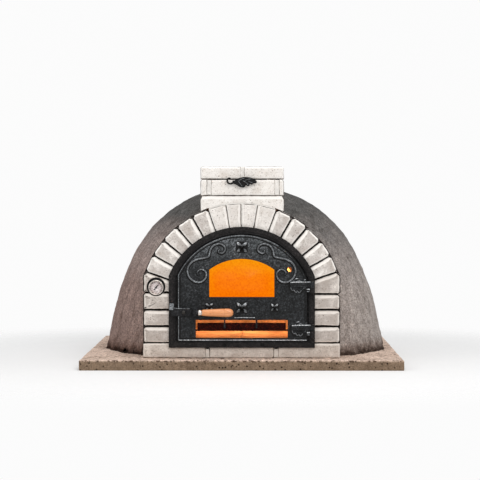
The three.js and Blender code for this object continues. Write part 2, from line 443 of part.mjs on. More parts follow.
// latch: lever, pivot bolt, ferrule, handle, keeper
{
  const Y = LEAF.y0 - 9, T = 6;              // lever plate front and thickness
  const ring = (x, y0, y1, z0, z1) => [[x, y0, z0], [x, y1, z0], [x, y1, z1], [x, y0, z1]];
  let m = stack([ring(-284.7, Y, Y + T, 174, 205.4), ring(-268, Y, Y + T, 170, 205.4), ring(-262, Y, Y + T, 170, 201),
    ring(-214, Y, Y + T, 170, 201), ring(-206, Y - 4, Y + T - 4, 171, 200), ring(-192, Y - 26, Y - 16, 174, 197), ring(-181, Y - 29, Y - 17, 175, 196)]);
  const cy = Y - 23;
  m = join(m, rod('x', 12.5, -184, -174.5, cy, LATCH.z, 18), rod('x', 3.6, -176, -110, cy, LATCH.z, 12));
  m = join(m, turnedY([[0, -1], [13, -1], [13, 1.2], [0, 1.2]], 18, LATCH.x, Y, LATCH.z));
  m = cut(m, rod('y', 5.3, -620, -540, LATCH.x, LATCH.z, 14));
  put('latch_lever', m, 'iron');
  put('latch_bolt', turnedY([[0, -24.6], [9.5, -24.6], [9.5, -19.3], [5, -19.3], [5, -8.7], [8, -8.7], [8, -6.3], [5, -6.3], [5, 1.6], [8.6, 1.6], [8, 4], [4.5, 6], [0, 6.6]], 16, LATCH.x, Y, LATCH.z), 'bright');
  put('latch_ferrule', turned([[4, -174.2], [12, -174.2], [12.6, -170], [11.8, -158.2], [4, -158.2], [4, -174.2]], 20, 'x', 0, cy, LATCH.z), 'steel');
  put('latch_handle', turned([[4, -157.9], [11.5, -157.9], [12.6, -154], [14.2, -120], [16, -88], [16.6, -72], [16, -70], [16, -68.4], [16.9, -66], [16.8, -52],
    [15, -42], [11, -36], [5.5, -33.4], [0, -33], [0, -109], [4, -109], [4, -157.9]], 22, 'x', 0, cy, LATCH.z), 'wood');
  const k = join(box(-291, -273, Y - 6, FR.y0 - 2, 206, 222), box(-291, -275, Y - 6, Y - 0.8, 196, 210));
  put('latch_keeper', k, 'iron');
}

// thermometer in its recess in the column
{
  const y = FACE_Y + 15.4;
  const ringC = turnedY([[0, 0.1], [28, 0.1], [28, 11], [DIAL.r, 12.5], [DIAL.r, 17.2], [27.4, 17.6], [26, 16], [26, 3], [0, 3]], 32, DIAL.x, y, DIAL.z);
  put('thermometer_case', join(ringC, rod('y', 3.2, y - 1, -180, DIAL.x, DIAL.z, 12)), 'steel');
  put('thermometer_dial', cut(turnedY([[0, 3.4], [25.6, 3.4], [25.6, 4.6], [0, 4.6]], 32, DIAL.x, y, DIAL.z), rod('y', 1.4, -600, -500, DIAL.x, DIAL.z, 10)), 'dial');
  put('thermometer_glass', turnedY([[0, 12], [25.6, 12], [25.6, 14], [0, 14]], 32, DIAL.x, y, DIAL.z), 'clear');
  const a = 37.5 * Math.PI / 180, f = [Math.sin(a), Math.cos(a)], s = [Math.cos(a), -Math.sin(a)];
  const N = (l, w) => [DIAL.x + f[0] * l + s[0] * w, DIAL.z + f[1] * l + s[1] * w];
  const yn = y - 6.4;
  let m = plate([N(-3, -1.5), N(-3, 1.5), N(20, 0.7), N(20, -0.7)], yn - 0.9, yn);
  m = join(m, turnedY([[0, -1.4], [3, -1.4], [3, 1.8], [0, 1.8]], 14, DIAL.x, yn, DIAL.z));
  const t = N(-9, 0);
  m = join(m, plate([N(-9, -1.2), N(-2, -1.2), N(-2, 1.2), N(-9, 1.2)], yn - 0.9, yn), turnedY([[0, 0], [3.1, 0], [3.1, 0.9], [0, 0.9]], 14, t[0], yn, t[1]));
  put('thermometer_needle', m, 'red');
}

export default root;
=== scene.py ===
import bpy, bmesh, math, random
import numpy as np
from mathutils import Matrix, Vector, noise


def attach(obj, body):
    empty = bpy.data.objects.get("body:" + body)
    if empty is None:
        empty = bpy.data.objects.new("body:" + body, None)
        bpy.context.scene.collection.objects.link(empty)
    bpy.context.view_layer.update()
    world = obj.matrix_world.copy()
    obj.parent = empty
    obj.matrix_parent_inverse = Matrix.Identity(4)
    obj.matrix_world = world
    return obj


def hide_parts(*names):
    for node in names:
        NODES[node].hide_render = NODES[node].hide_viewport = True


# ---------------------------------------------------------------- camera
cam_data = bpy.data.cameras.new("camera")
cam_data.lens = 137.6
cam_data.sensor_width = 36.0
cam_data.clip_end = 200
cam = bpy.data.objects.new("camera", cam_data)
bpy.context.scene.collection.objects.link(cam)
cam.location = (0.058, -7.956, 0.699)
cam.rotation_euler = (math.radians(90 - 1.39), 0, math.radians(0.5))
bpy.context.scene.camera = cam

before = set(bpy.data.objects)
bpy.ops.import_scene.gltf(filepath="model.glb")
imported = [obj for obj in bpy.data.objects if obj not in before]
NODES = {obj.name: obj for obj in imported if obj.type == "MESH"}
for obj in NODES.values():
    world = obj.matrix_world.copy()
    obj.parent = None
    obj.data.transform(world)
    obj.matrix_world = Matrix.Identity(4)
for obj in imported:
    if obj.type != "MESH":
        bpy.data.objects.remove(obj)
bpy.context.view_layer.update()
S = 0.001
Z0 = 42.0                         # slab top
random.seed(4)
noise.seed_set(4)


def lin(r, g, b):
    f = lambda c: c / 12.92 if c <= 0.04045 else ((c + 0.055) / 1.055) ** 2.4
    return (f(r / 255), f(g / 255), f(b / 255), 1.0)


# ---------------------------------------------------------------- materials
class Mat:
    def __init__(self, name):
        self.m = bpy.data.materials.new(name)
        self.m.use_nodes = True
        self.t = self.m.node_tree
        self.b = self.t.nodes["Principled BSDF"]
        self.co = self.t.nodes.new("ShaderNodeTexCoord").outputs["Object"]

    def new(self, kind, **kw):
        n = self.t.nodes.new(kind)
        for k, v in kw.items():
            setattr(n, k, v)
        return n

    def link(self, a, b):
        self.t.links.new(a, b)

    def noise(self, scale, detail=4, rough=0.55, out="Fac", co=None, dist=0.0):
        n = self.new("ShaderNodeTexNoise")
        n.inputs["Scale"].default_value = scale
        n.inputs["Detail"].default_value = detail
        n.inputs["Roughness"].default_value = rough
        n.inputs["Distortion"].default_value = dist
        self.link(co or self.co, n.inputs["Vector"])
        return n.outputs[out]

    def voronoi(self, scale, feature="F1", out="Distance", rnd=1.0):
        n = self.new("ShaderNodeTexVoronoi", feature=feature)
        n.inputs["Scale"].default_value = scale
        n.inputs["Randomness"].default_value = rnd
        self.link(self.co, n.inputs["Vector"])
        return n.outputs[out]

    def ramp(self, fac, stops, interp="LINEAR"):
        n = self.new("ShaderNodeValToRGB")
        n.color_ramp.interpolation = interp
        e = n.color_ramp.elements
        while len(e) < len(stops):
            e.new(0.5)
        for k, (p, c) in zip(e, stops):
            k.position = p
            k.color = c if len(c) == 4 else (*c, 1)
        self.link(fac, n.inputs["Fac"])
        return n.outputs["Color"]

    def mix(self, fac, a, b, blend="MIX"):
        n = self.new("ShaderNodeMix", data_type="RGBA", blend_type=blend)
        for sock, v in ((n.inputs[0], fac), (n.inputs[6], a), (n.inputs[7], b)):
            if hasattr(v, "links"):
                self.link(v, sock)
            else:
                sock.default_value = v
        return n.outputs[2]

    def math(self, op, a, b=0.0, c=0.0, clamp=False):
        n = self.new("ShaderNodeMath", operation=op)
        n.use_clamp = clamp
        for sock, v in zip(n.inputs, (a, b, c)):
            if hasattr(v, "links"):
                self.link(v, sock)
            else:
                sock.default_value = v
        return n.outputs[0]

    def attr(self, name, out="Fac"):
        n = self.new("ShaderNodeAttribute")
        n.attribute_name = name
        return n.outputs[out]

    def sep(self):
        n = self.new("ShaderNodeSeparateXYZ")
        self.link(self.co, n.inputs[0])
        return n.outputs

    def bump(self, *layers):
        """layers of (height, strength, distance)"""
        prev = None
        for h, s, d in layers:
            n = self.new("ShaderNodeBump")
            n.inputs["Strength"].default_value = s
            n.inputs["Distance"].default_value = d
            self.link(h, n.inputs["Height"])
            if prev is not None:
                self.link(prev, n.inputs["Normal"])
            prev = n.outputs["Normal"]
        self.link(prev, self.b.inputs["Normal"])

    def set(self, **kw):
        for k, v in kw.items():
            k = k.replace("_", " ")
            s = self.b.inputs[k]
            if hasattr(v, "links"):
                self.link(v, s)
            else:
                s.default_value = v
        return self.m


def pointiness(m):
    return m.new("ShaderNodeNewGeometry").outputs["Pointiness"]


def brick_material(name, c_face, c_light, c_dark, joint):
    m = Mat(name)
    mott = m.noise(20, 6, 0.65)
    fine = m.noise(160, 4, 0.7)
    base = m.ramp(mott, [(0.3, lin(*c_dark)), (0.52, lin(*c_face)), (0.75, lin(*c_light))])
    speck = m.ramp(fine, [(0.3, (0.6, 0.56, 0.52, 1)), (0.44, (1, 1, 1, 1)), (0.68, (1.07, 1.06, 1.05, 1))])
    base = m.mix(1.0, base, speck, "MULTIPLY")
    pits = m.voronoi(95)
    pm = m.ramp(pits, [(0.10, (0.16, 0.12, 0.1, 1)), (0.2, (1, 1, 1, 1))])
    gate = m.ramp(m.noise(34, 2), [(0.52, (0, 0, 0, 1)), (0.58, (1, 1, 1, 1))])
    base = m.mix(gate, base, m.mix(1.0, base, pm, "MULTIPLY"))
    # painted highlight: faces marked by the edge attribute (the bevels and arrises) are pushed toward the pale tone, as
    # if they caught the light
    edge = m.attr("edge")
    base = m.mix(edge, base, lin(*c_light))
    deep = m.attr("joint")
    base = m.mix(deep, base, lin(*joint))
    m.bump((m.noise(30, 4), 0.25, 0.004), (fine, 0.35, 0.0012), (m.voronoi(95), 0.15, 0.002))
    return m.set(Base_Color=base, Roughness=0.9, Specular_IOR_Level=0.2)


# painted light: the chimney, crown and arch copies are paler than the columns, standing in for the light falling from
# above on the higher courses
MB_COLUMN = brick_material("brick_column", (184, 175, 168), (230, 222, 214), (170, 159, 150), (22, 14, 10))
MB_ARCH = brick_material("brick_arch", (202, 195, 189), (246, 241, 235), (182, 172, 164), (24, 17, 13))
MB_CROWN = brick_material("brick_crown", (226, 220, 214), (248, 243, 237), (212, 204, 196), (120, 102, 90))
MB_CHIM = brick_material("brick_chimney", (235, 230, 224), (247, 243, 238), (221, 213, 205), (104, 84, 72))
MB_BASE = brick_material("brick_base", (196, 186, 177), (222, 213, 204), (178, 166, 156), (48, 36, 28))


def mortar_material(name, c):
    m = Mat(name)
    n = m.noise(60, 5, 0.65)
    m.bump((n, 0.5, 0.003), (m.noise(300, 3), 0.4, 0.001))
    return m.set(Base_Color=m.ramp(n, [(0.3, lin(*[int(v * 0.86) for v in c])), (0.65, lin(*c))]), Roughness=0.95)


MORTAR_L = mortar_material("mortar_light", (240, 235, 229))
MORTAR_B = mortar_material("mortar_base", (216, 207, 198))
# painted shade: a near-black mortar tone for the dark prisms set into notches
MORTAR_SHADE = mortar_material("painted_shade_mortar", (34, 25, 20))


def render_material():
    m = Mat("cement_render")
    x, y, z = m.sep()
    hgt = m.math("DIVIDE", z, 0.735, clamp=True)
    big = m.noise(5.5, 5, 0.6)
    mid = m.noise(26, 5, 0.65)
    fine = m.noise(150, 4, 0.7)
    # painted light and shade: the render's tone is set by side and height, browner low on the left, paler low on the
    # right, paler high on the left, darker high on the right and darkest over the crown
    side = m.math("MULTIPLY_ADD", x, 0.9, 0.5, clamp=True)
    low = m.mix(side, lin(138, 117, 110), lin(161, 153, 148))
    high = m.mix(m.ramp(z, [(0.45, (0, 0, 0, 1)), (0.62, (1, 1, 1, 1))]), m.mix(m.math("MULTIPLY_ADD", m.math("ADD", x, m.math("MULTIPLY_ADD", mid, 0.3, -0.15)), 3.4, 0.5, clamp=True), lin(152, 141, 137), lin(99, 98, 98)), lin(84, 83, 82))
    f = m.math("ADD", hgt, m.math("MULTIPLY_ADD", big, 0.3, -0.15))
    base = m.mix(m.ramp(f, [(0.4, (0, 0, 0, 1)), (0.86, (1, 1, 1, 1))]), low, high)
    # painted contact shade: the render is darkened strongly at its foot, within about 6 cm of the slab
    foot = m.ramp(m.math("ADD", z, m.math("MULTIPLY_ADD", mid, 0.06, -0.03)), [(0.052, (0.16, 0.12, 0.1, 1)), (0.07, (0.6, 0.54, 0.51, 1)), (0.1, (1, 1, 1, 1))])
    base = m.mix(1.0, base, foot, "MULTIPLY")
    base = m.mix(1.0, base, m.ramp(mid, [(0.3, (0.72, 0.70, 0.68, 1)), (0.5, (1, 1, 1, 1)), (0.72, (1.18, 1.17, 1.15, 1))]), "MULTIPLY")
    base = m.mix(1.0, base, m.ramp(fine, [(0.32, (0.42, 0.4, 0.38, 1)), (0.5, (1, 1, 1, 1)), (0.68, (1.55, 1.54, 1.52, 1))]), "MULTIPLY")
    mp = m.new("ShaderNodeMapping")
    mp.inputs["Scale"].default_value = (1, 1, 0.22)
    m.link(m.co, mp.inputs["Vector"])
    streak = m.noise(34, 5, 0.7, co=mp.outputs[0], dist=0.6)
    base = m.mix(1.0, base, m.ramp(streak, [(0.3, (0.74, 0.71, 0.69, 1)), (0.5, (1, 1, 1, 1)), (0.7, (1.3, 1.29, 1.28, 1))]), "MULTIPLY")
    m.bump((streak, 0.5, 0.008), (mid, 0.6, 0.006), (fine, 0.7, 0.0022), (m.voronoi(120), 0.3, 0.002))
    return m.set(Base_Color=base, Roughness=0.96, Specular_IOR_Level=0.15)


def slab_material():
    m = Mat("cast_slab")
    x, y, z = m.sep()
    big = m.noise(7, 5, 0.6)
    mid = m.noise(38, 5, 0.7)
    fine = m.noise(210, 4, 0.7)
    top = m.ramp(z, [(0.034, (0, 0, 0, 1)), (0.041, (1, 1, 1, 1))])
    base = m.mix(top, lin(129, 110, 92), lin(226, 204, 190))
    base = m.mix(1.0, base, m.ramp(mid, [(0.28, (0.6, 0.56, 0.52, 1)), (0.5, (1, 1, 1, 1)), (0.74, (1.22, 1.2, 1.17, 1))]), "MULTIPLY")
    base = m.mix(1.0, base, m.ramp(fine, [(0.3, (0.45, 0.42, 0.4, 1)), (0.5, (1, 1, 1, 1)), (0.7, (1.4, 1.4, 1.4, 1))]), "MULTIPLY")
    base = m.mix(1.0, base, m.ramp(big, [(0.35, (0.86, 0.84, 0.82, 1)), (0.62, (1.08, 1.07, 1.06, 1))]), "MULTIPLY")
    pit = m.ramp(m.voronoi(62), [(0.16, (0.12, 0.09, 0.07, 1)), (0.3, (1, 1, 1, 1))])
    base = m.mix(m.ramp(m.noise(16, 3), [(0.47, (0, 0, 0, 1)), (0.53, (1, 1, 1, 1))]), base, m.mix(1.0, base, pit, "MULTIPLY"))
    band = m.ramp(z, [(0.031, (0, 0, 0, 1)), (0.035, (1, 1, 1, 1)), (0.0405, (1, 1, 1, 1)), (0.0425, (0, 0, 0, 1))])
    chip = m.ramp(m.noise(75, 3, 0.6), [(0.42, (0.2, 0.15, 0.12, 1)), (0.5, (0.85, 0.83, 0.8, 1)), (0.62, (1.15, 1.13, 1.1, 1))])
    base = m.mix(band, base, m.mix(1.0, base, chip, "MULTIPLY"))
    m.bump((mid, 0.5, 0.004), (fine, 0.6, 0.0015), (m.voronoi(60), 0.25, 0.003))
    return m.set(Base_Color=base, Roughness=0.93, Specular_IOR_Level=0.2)


def iron_material(name, dark, mid_c, light, rough=0.5, metal=0.35, lift=False, spec=0.35):
    m = Mat(name)
    grain = m.noise(220, 4, 0.7)
    blot = m.noise(18, 5, 0.6)
    base = m.ramp(blot, [(0.3, lin(*dark)), (0.55, lin(*mid_c)), (0.8, lin(*light))])
    base = m.mix(1.0, base, m.ramp(grain, [(0.36, (0.35, 0.35, 0.35, 1)), (0.5, (0.85, 0.85, 0.85, 1)), (0.66, (2.2, 2.2, 2.2, 1))]), "MULTIPLY")
    if mid_c[0] < 80:
        base = m.mix(1.0, base, m.ramp(m.noise(125, 3, 0.6), [(0.36, (0.42, 0.42, 0.42, 1)), (0.5, (0.82, 0.82, 0.82, 1)), (0.66, (1.9, 1.9, 1.9, 1))]), "MULTIPLY")
    # painted sheen: with lift, the colour is multiplied up toward the top of the piece, to several times at the top,
    # standing in for light reflected off the upper leaf
    if lift:
        x, y, z = m.sep()
        up = m.ramp(z, [(0.26, (1, 1, 1, 1)), (0.42, (1.7, 1.68, 1.64, 1)), (0.54, (7.0, 6.8, 6.6, 1))])
        base = m.mix(1.0, base, up, "MULTIPLY")
    r = m.ramp(grain, [(0.3, (rough + 0.14,) * 3), (0.7, (rough - 0.08,) * 3)])
    m.bump((grain, 0.9, 0.0022), (m.noise(70, 4, 0.6), 0.45, 0.003))
    return m.set(Base_Color=base, Metallic=metal, Roughness=r, Specular_IOR_Level=spec)


IRON = iron_material("cast_iron_leaf", (24, 26, 27), (36, 38, 40), (50, 52, 54), 0.55, lift=True)
IRON_F = iron_material("cast_iron_frame", (20, 17, 17), (31, 28, 28), (46, 42, 42), 0.58)
# darkest iron: the damper's and glass retainer's own colour, also laid as thin strips and plates for painted shade on
# the door and round the thermometer
IRON_D = iron_material("cast_iron_dark", (7, 7, 7), (13, 13, 13), (24, 23, 22), 0.5)
IRON_L = iron_material("cast_iron_lever", (16, 16, 17), (27, 27, 29), (40, 40, 42), 0.4)
# painted highlights: two pale copies of the iron, laid as strips and small pieces where the raised relief, edges and
# beads catch the light
IRON_HIGHLIGHT = iron_material("cast_iron_painted_highlight", (146, 149, 152), (188, 191, 194), (218, 220, 222), 0.34)
IRON_LIT_RELIEF = iron_material("cast_iron_painted_lit_relief", (88, 90, 92), (122, 125, 128), (156, 160, 163), 0.38)


# the draught flap's iron is a dark red-brown, its darkness painted shade on its tilted face
FLAP = iron_material("cast_iron_warm", (26, 4, 2), (48, 8, 3), (84, 24, 10), 0.7, 0.0, False, 0.08)


def simple_metal(name, c, rough, metal=1.0):
    m = Mat(name)
    g = m.noise(400, 3, 0.6)
    s = m.noise(60, 4, 0.6)
    base = m.ramp(s, [(0.3, lin(*[int(v * 0.82) for v in c])), (0.6, lin(*c))])
    m.bump((g, 0.25, 0.0005))
    return m.set(Base_Color=base, Metallic=metal, Roughness=m.ramp(g, [(0.3, (rough + 0.1,) * 3), (0.7, (rough - 0.06,) * 3)]))


STEEL = simple_metal("satin_steel", (232, 222, 214), 0.28)
PIN = simple_metal("blackened_steel", (70, 68, 66), 0.42)


def wood_material():
    m = Mat("varnished_wood")
    mp = m.new("ShaderNodeMapping")
    mp.inputs["Scale"].default_value = (6, 60, 60)
    m.link(m.co, mp.inputs["Vector"])
    g = m.noise(5, 5, 0.6, co=mp.outputs[0], dist=1.2)
    f = m.noise(22, 3, 0.6, co=mp.outputs[0])
    base = m.ramp(g, [(0.28, lin(170, 88, 44)), (0.5, lin(230, 146, 86)), (0.72, lin(242, 174, 118))])
    base = m.mix(0.35, base, m.ramp(f, [(0.3, lin(150, 80, 40)), (0.6, lin(244, 182, 128))]))
    m.bump((f, 0.12, 0.0006))
    return m.set(Base_Color=base, Roughness=0.38, Coat_Weight=0.35, Coat_Roughness=0.15)


WOOD = wood_material()


def fire_material(name, c, dark):
    m = Mat(name)
    a = m.noise(9, 5, 0.6)
    b = m.noise(90, 4, 0.7)
    base = m.ramp(a, [(0.3, lin(*dark)), (0.6, lin(*c))])
    base = m.mix(1.0, base, m.ramp(b, [(0.3, (0.7, 0.68, 0.66, 1)), (0.6, (1.05, 1.05, 1.05, 1))]), "MULTIPLY")
    m.bump((b, 0.4, 0.002))
    return m.set(Base_Color=base, Roughness=0.92)


FIRE = fire_material("firebrick", (214, 180, 146), (140, 112, 90))
BOARD = fire_material("insulation_board", (216, 208, 190), (188, 178, 160))
WOOL = fire_material("ceramic_blanket", (226, 222, 212), (196, 190, 178))


# painted glow: the amber glass emits its own orange light, yellower toward its top and toward its left and right ends,
# standing in for the fire lit behind it
def amber_material():
    m = Mat("amber_glass")
    x, y, z = m.sep()
    n = m.noise(9, 4, 0.6)
    f = m.math("ADD", m.math("MULTIPLY_ADD", z, 6.2, -1.75), m.math("MULTIPLY_ADD", n, 0.5, -0.25), clamp=True)
    c = m.ramp(f, [(0.0, lin(252, 118, 0)), (0.55, lin(252, 126, 3)), (1.0, lin(250, 152, 12))])
    c = m.mix(1.0, c, m.ramp(m.noise(130, 4, 0.75), [(0.34, (0.9, 0.72, 0.5, 1)), (0.5, (1, 1, 1, 1)), (0.68, (1.04, 1.2, 1.3, 1))]), "MULTIPLY")
    edge = m.ramp(m.math("ABSOLUTE", m.math("SUBTRACT", x, 0.001)), [(0.100, (1, 1, 1, 1)), (0.131, (1.0, 1.16, 1.3, 1))])
    c = m.mix(1.0, c, edge, "MULTIPLY")
    m.bump((m.noise(130, 3), 0.15, 0.0008))
    return m.set(Base_Color=lin(60, 24, 2), Roughness=0.35, Emission_Color=c, Emission_Strength=0.96, Specular_IOR_Level=0.06)


AMBER = amber_material()


def dial_material():
    m = Mat("dial_face")
    x, y, z = m.sep()
    dx = m.math("SUBTRACT", x, -0.346)
    dz = m.math("SUBTRACT", z, 0.327)
    r = m.math("SQRT", m.math("ADD", m.math("MULTIPLY", dx, dx), m.math("MULTIPLY", dz, dz)))
    a = m.math("ARCTAN2", dx, dz)
    tick = m.math("ABSOLUTE", m.math("SINE", m.math("MULTIPLY", a, 9.0)))
    on = m.math("LESS_THAN", tick, 0.22)
    band = m.math("MULTIPLY", m.math("GREATER_THAN", r, 0.0188), m.math("LESS_THAN", r, 0.0232))
    low = m.math("LESS_THAN", m.math("ABSOLUTE", a), 2.42)
    fac = m.math("MULTIPLY", m.math("MULTIPLY", on, band), low)
    base = m.mix(fac, m.ramp(m.noise(80, 3), [(0.3, lin(232, 214, 212)), (0.7, lin(248, 238, 236))]), lin(60, 48, 46))
    m.bump((m.noise(300, 2), 0.1, 0.0003))
    return m.set(Base_Color=base, Roughness=0.5)


DIAL = dial_material()
NEEDLE = simple_metal("needle_black", (18, 15, 15), 0.6, 0.0)


def clear_material():
    m = Mat("clear_glass")
    n = m.noise(30, 2)
    m.bump((n, 0.02, 0.0002))
    return m.set(Base_Color=(1, 1, 1, 1), Transmission_Weight=1.0, Roughness=0.02, IOR=1.1)


CLEAR = clear_material()


def use(o, mat):
    o.data.materials.clear()
    o.data.materials.append(mat)


# ---------------------------------------------------------------- mesh helpers
def new_mesh(name, verts, faces, mat, body="oven", smooth=True, angle=40, attrs=None):
    me = bpy.data.meshes.new(name)
    me.from_pydata([tuple(v) for v in verts], [], faces)
    me.update()
    for k, vals in (attrs or {}).items():
        a = me.attributes.new(k, "FLOAT", "POINT")
        a.data.foreach_set("value", np.array(vals, np.float32))
    o = bpy.data.objects.new(name, me)
    bpy.context.scene.collection.objects.link(o)
    bm = bmesh.new()
    bm.from_mesh(me)
    bmesh.ops.recalc_face_normals(bm, faces=bm.faces)
    bm.to_mesh(me)
    bm.free()
    if smooth:
        me.shade_smooth()
        if angle:
            me.set_sharp_from_angle(angle=math.radians(angle))
    me.materials.append(mat)
    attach(o, body)
    return o


def nv(p, f, s):
    return noise.noise_vector(Vector((p[0] * f + s, p[1] * f - s * 0.7, p[2] * f + s * 1.3)))


def rough(verts, amps, seed=0.0, mask=None):
    """moves each vertex by a few layers of vector noise, (frequency per metre, amplitude in metres)"""
    out = []
    for i, v in enumerate(verts):
        q = Vector(v)
        k = 1.0 if mask is None else mask[i]
        for f, a in amps:
            q += nv(v, f, seed) * (a * k)
        out.append(q)
    return out


def inset(poly, d):
    n = len(poly)
    area = sum(poly[i][0] * poly[(i + 1) % n][1] - poly[(i + 1) % n][0] * poly[i][1] for i in range(n))
    s = 1 if area > 0 else -1
    L = []
    for i in range(n):
        a, b = poly[i], poly[(i + 1) % n]
        dx, dy = b[0] - a[0], b[1] - a[1]
        l = math.hypot(dx, dy)
        e = d[i] if isinstance(d, (list, tuple)) else d
        L.append((a[0] - dy / l * s * e, a[1] + dx / l * s * e, dx, dy))
    out = []
    for i in range(n):
        p, q = L[i - 1], L[i]
        det = p[2] * q[3] - p[3] * q[2]
        t = ((q[0] - p[0]) * q[3] - (q[1] - p[1]) * q[2]) / det
        out.append((p[0] + p[2] * t, p[1] + p[3] * t))
    return out


def nipped(poly, bevel, nips, rake):
    """cuts corners off an outline before it is dressed; nips maps a corner to its cut"""
    n = len(poly)
    P, B = [], []
    for i in range(n):
        p, e1, e2, d = poly[i], bevel[i - 1], bevel[i], nips.get(i, 0)
        if not d:
            P.append(p)
            B.append(e2)
            continue
        for q in (poly[i - 1], poly[(i + 1) % n]):
            l = math.dist(p, q)
            P.append((p[0] + (q[0] - p[0]) / l * d, p[1] + (q[1] - p[1]) / l * d))
        B += [max(2, (e1 + e2 - d) * 0.7071 - rake * 0.41 + 2.5), e2]
    return P, B


def outline(poly, step=4.5, counts=None):
    n = len(poly)
    if counts is None:
        counts = [max(2, round(math.dist(poly[i], poly[(i + 1) % n]) / step)) for i in range(n)]
    pts = []
    for i in range(n):
        a, b = poly[i], poly[(i + 1) % n]
        for k in range(counts[i]):
            t = k / counts[i]
            pts.append((a[0] + (b[0] - a[0]) * t, a[1] + (b[1] - a[1]) * t))
    return pts, counts


def brick(name, poly, y0, y1, bevel, rake, mat, seed, depth=6.5, amp=1.0):
    """a dressed brick: raked joint, worn bevels and a slightly uneven face (mm, heights above the slab)"""
    i1 = inset(poly, rake)
    half = [r * 0.5 for r in rake] if isinstance(rake, (list, tuple)) else rake * 0.5
    mid = inset(i1, [b * 0.42 for b in bevel])
    i2 = inset(i1, bevel)
    base, counts = outline(poly)
    rings, edge, joint = [], [], []

    def ring(pl, y, e=0.0, j=0.0, pull=0.0):
        pts, _ = outline(pl, counts=counts)
        if pull:
            cx = sum(p[0] for p in pts) / len(pts)
            cz = sum(p[1] for p in pts) / len(pts)
            pts = [(p[0] + (cx - p[0]) * pull, p[1] + (cz - p[1]) * pull) for p in pts]
        rings.append([(p[0] * S, y * S, (p[1] + Z0) * S) for p in pts])
        edge.append(e)
        joint.append(j)

    for pull in (0.9, 0.55, 0.15):
        ring(poly, y1, 0, 0.2, pull)
    nseg = max(2, int((y1 - y0 - 14) / 26))
    ring(poly, y1, 0, 0.25)
    for k in range(1, nseg):
        ring(poly, y1 + (y0 + 14 - y1) * k / nseg, 0.15)
    ring(poly, y0 + 13.5, 0.0, 1.0)
    ring(inset(poly, half), y0 + 12, 0.0, 1.0)
    ring(i1, y0 + 11, 0.0, 0.9)
    ring(i1, y0 + 8.5, 0.1, 0.85)
    ring(i1, y0 + depth, 0.75, 0.22)
    ring(mid, y0 + depth * 0.42, 1.0)
    ring(i2, y0 + 0.4, 0.9)
    ring(inset(i2, 1.6), y0, 0.1)
    for pull in (0.16, 0.32, 0.48, 0.64, 0.8, 0.93):
        ring(inset(i2, 1.6), y0, 0.0, 0.0, pull)
    n = len(rings[0])
    verts, e, j = [], [], []
    for k, r in enumerate(rings):
        verts += r
        e += [edge[k]] * n
        j += [joint[k]] * n
    faces = []
    for k in range(len(rings) - 1):
        for i in range(n):
            a, b = k * n + i, k * n + (i + 1) % n
            faces.append((a, b, b + n, a + n))
    faces.append(tuple(range(n)))
    faces.append(tuple(range((len(rings) - 1) * n, len(rings) * n)))
    # the edge values mark the bevel rings for the painted highlight in brick_material; here they also weight the
    # roughening and the chips
    m = [0.35 + 0.65 * x for x in e]
    v2 = rough(verts, [(18, 0.0012 * amp), (70, 0.0009 * amp)], seed, None)
    v2 = rough(v2, [(150, 0.0007 * amp)], seed + 9, m)
    # chipped arrises
    out = []
    for p, q, ee in zip(verts, v2, e):
        if ee > 0.5:
            c = noise.noise(Vector((p[0] * 55 + seed, p[1] * 55, p[2] * 55)))
            if c > 0.28:
                q = q + Vector((0, min(0.0045, (c - 0.28) * 0.014), 0))
        out.append(q)
    return new_mesh(name, out, faces, mat, "oven", True, 55, {"edge": e, "joint": j})


def lathe(name, pts, seg, axis, centre, mat, body, angle=35, wob=None):
    """profile [(radius, along)] in mm turned about an axis through centre"""
    verts, faces, rings = [], [], []
    for r, h in pts:
        if r < 1e-6:
            rings.append([len(verts)])
            verts.append((0, 0, h))
        else:
            rings.append(list(range(len(verts), len(verts) + seg)))
            for i in range(seg):
                a = 2 * math.pi * i / seg
                verts.append((r * math.cos(a), r * math.sin(a), h))
    for a, b in zip(rings, rings[1:]):
        for i in range(seg):
            j = (i + 1) % seg
            if len(a) == 1 and len(b) > 1:
                faces.append((a[0], b[i], b[j]))
            elif len(b) == 1 and len(a) > 1:
                faces.append((a[i], a[j], b[0]))
            elif len(a) > 1:
                faces.append((a[i], a[j], b[j], b[i]))
    out = []
    for x, y, h in verts:
        p = {"x": (h, x, y), "y": (x, -h, y), "z": (x, y, h)}[axis]
        out.append(Vector(((p[0] + centre[0]) * S, (p[1] + centre[1]) * S, (p[2] + centre[2]) * S)))
    if wob:
        out = rough(out, wob, 3.3)
    return new_mesh(name, out, faces, mat, body, True, angle)


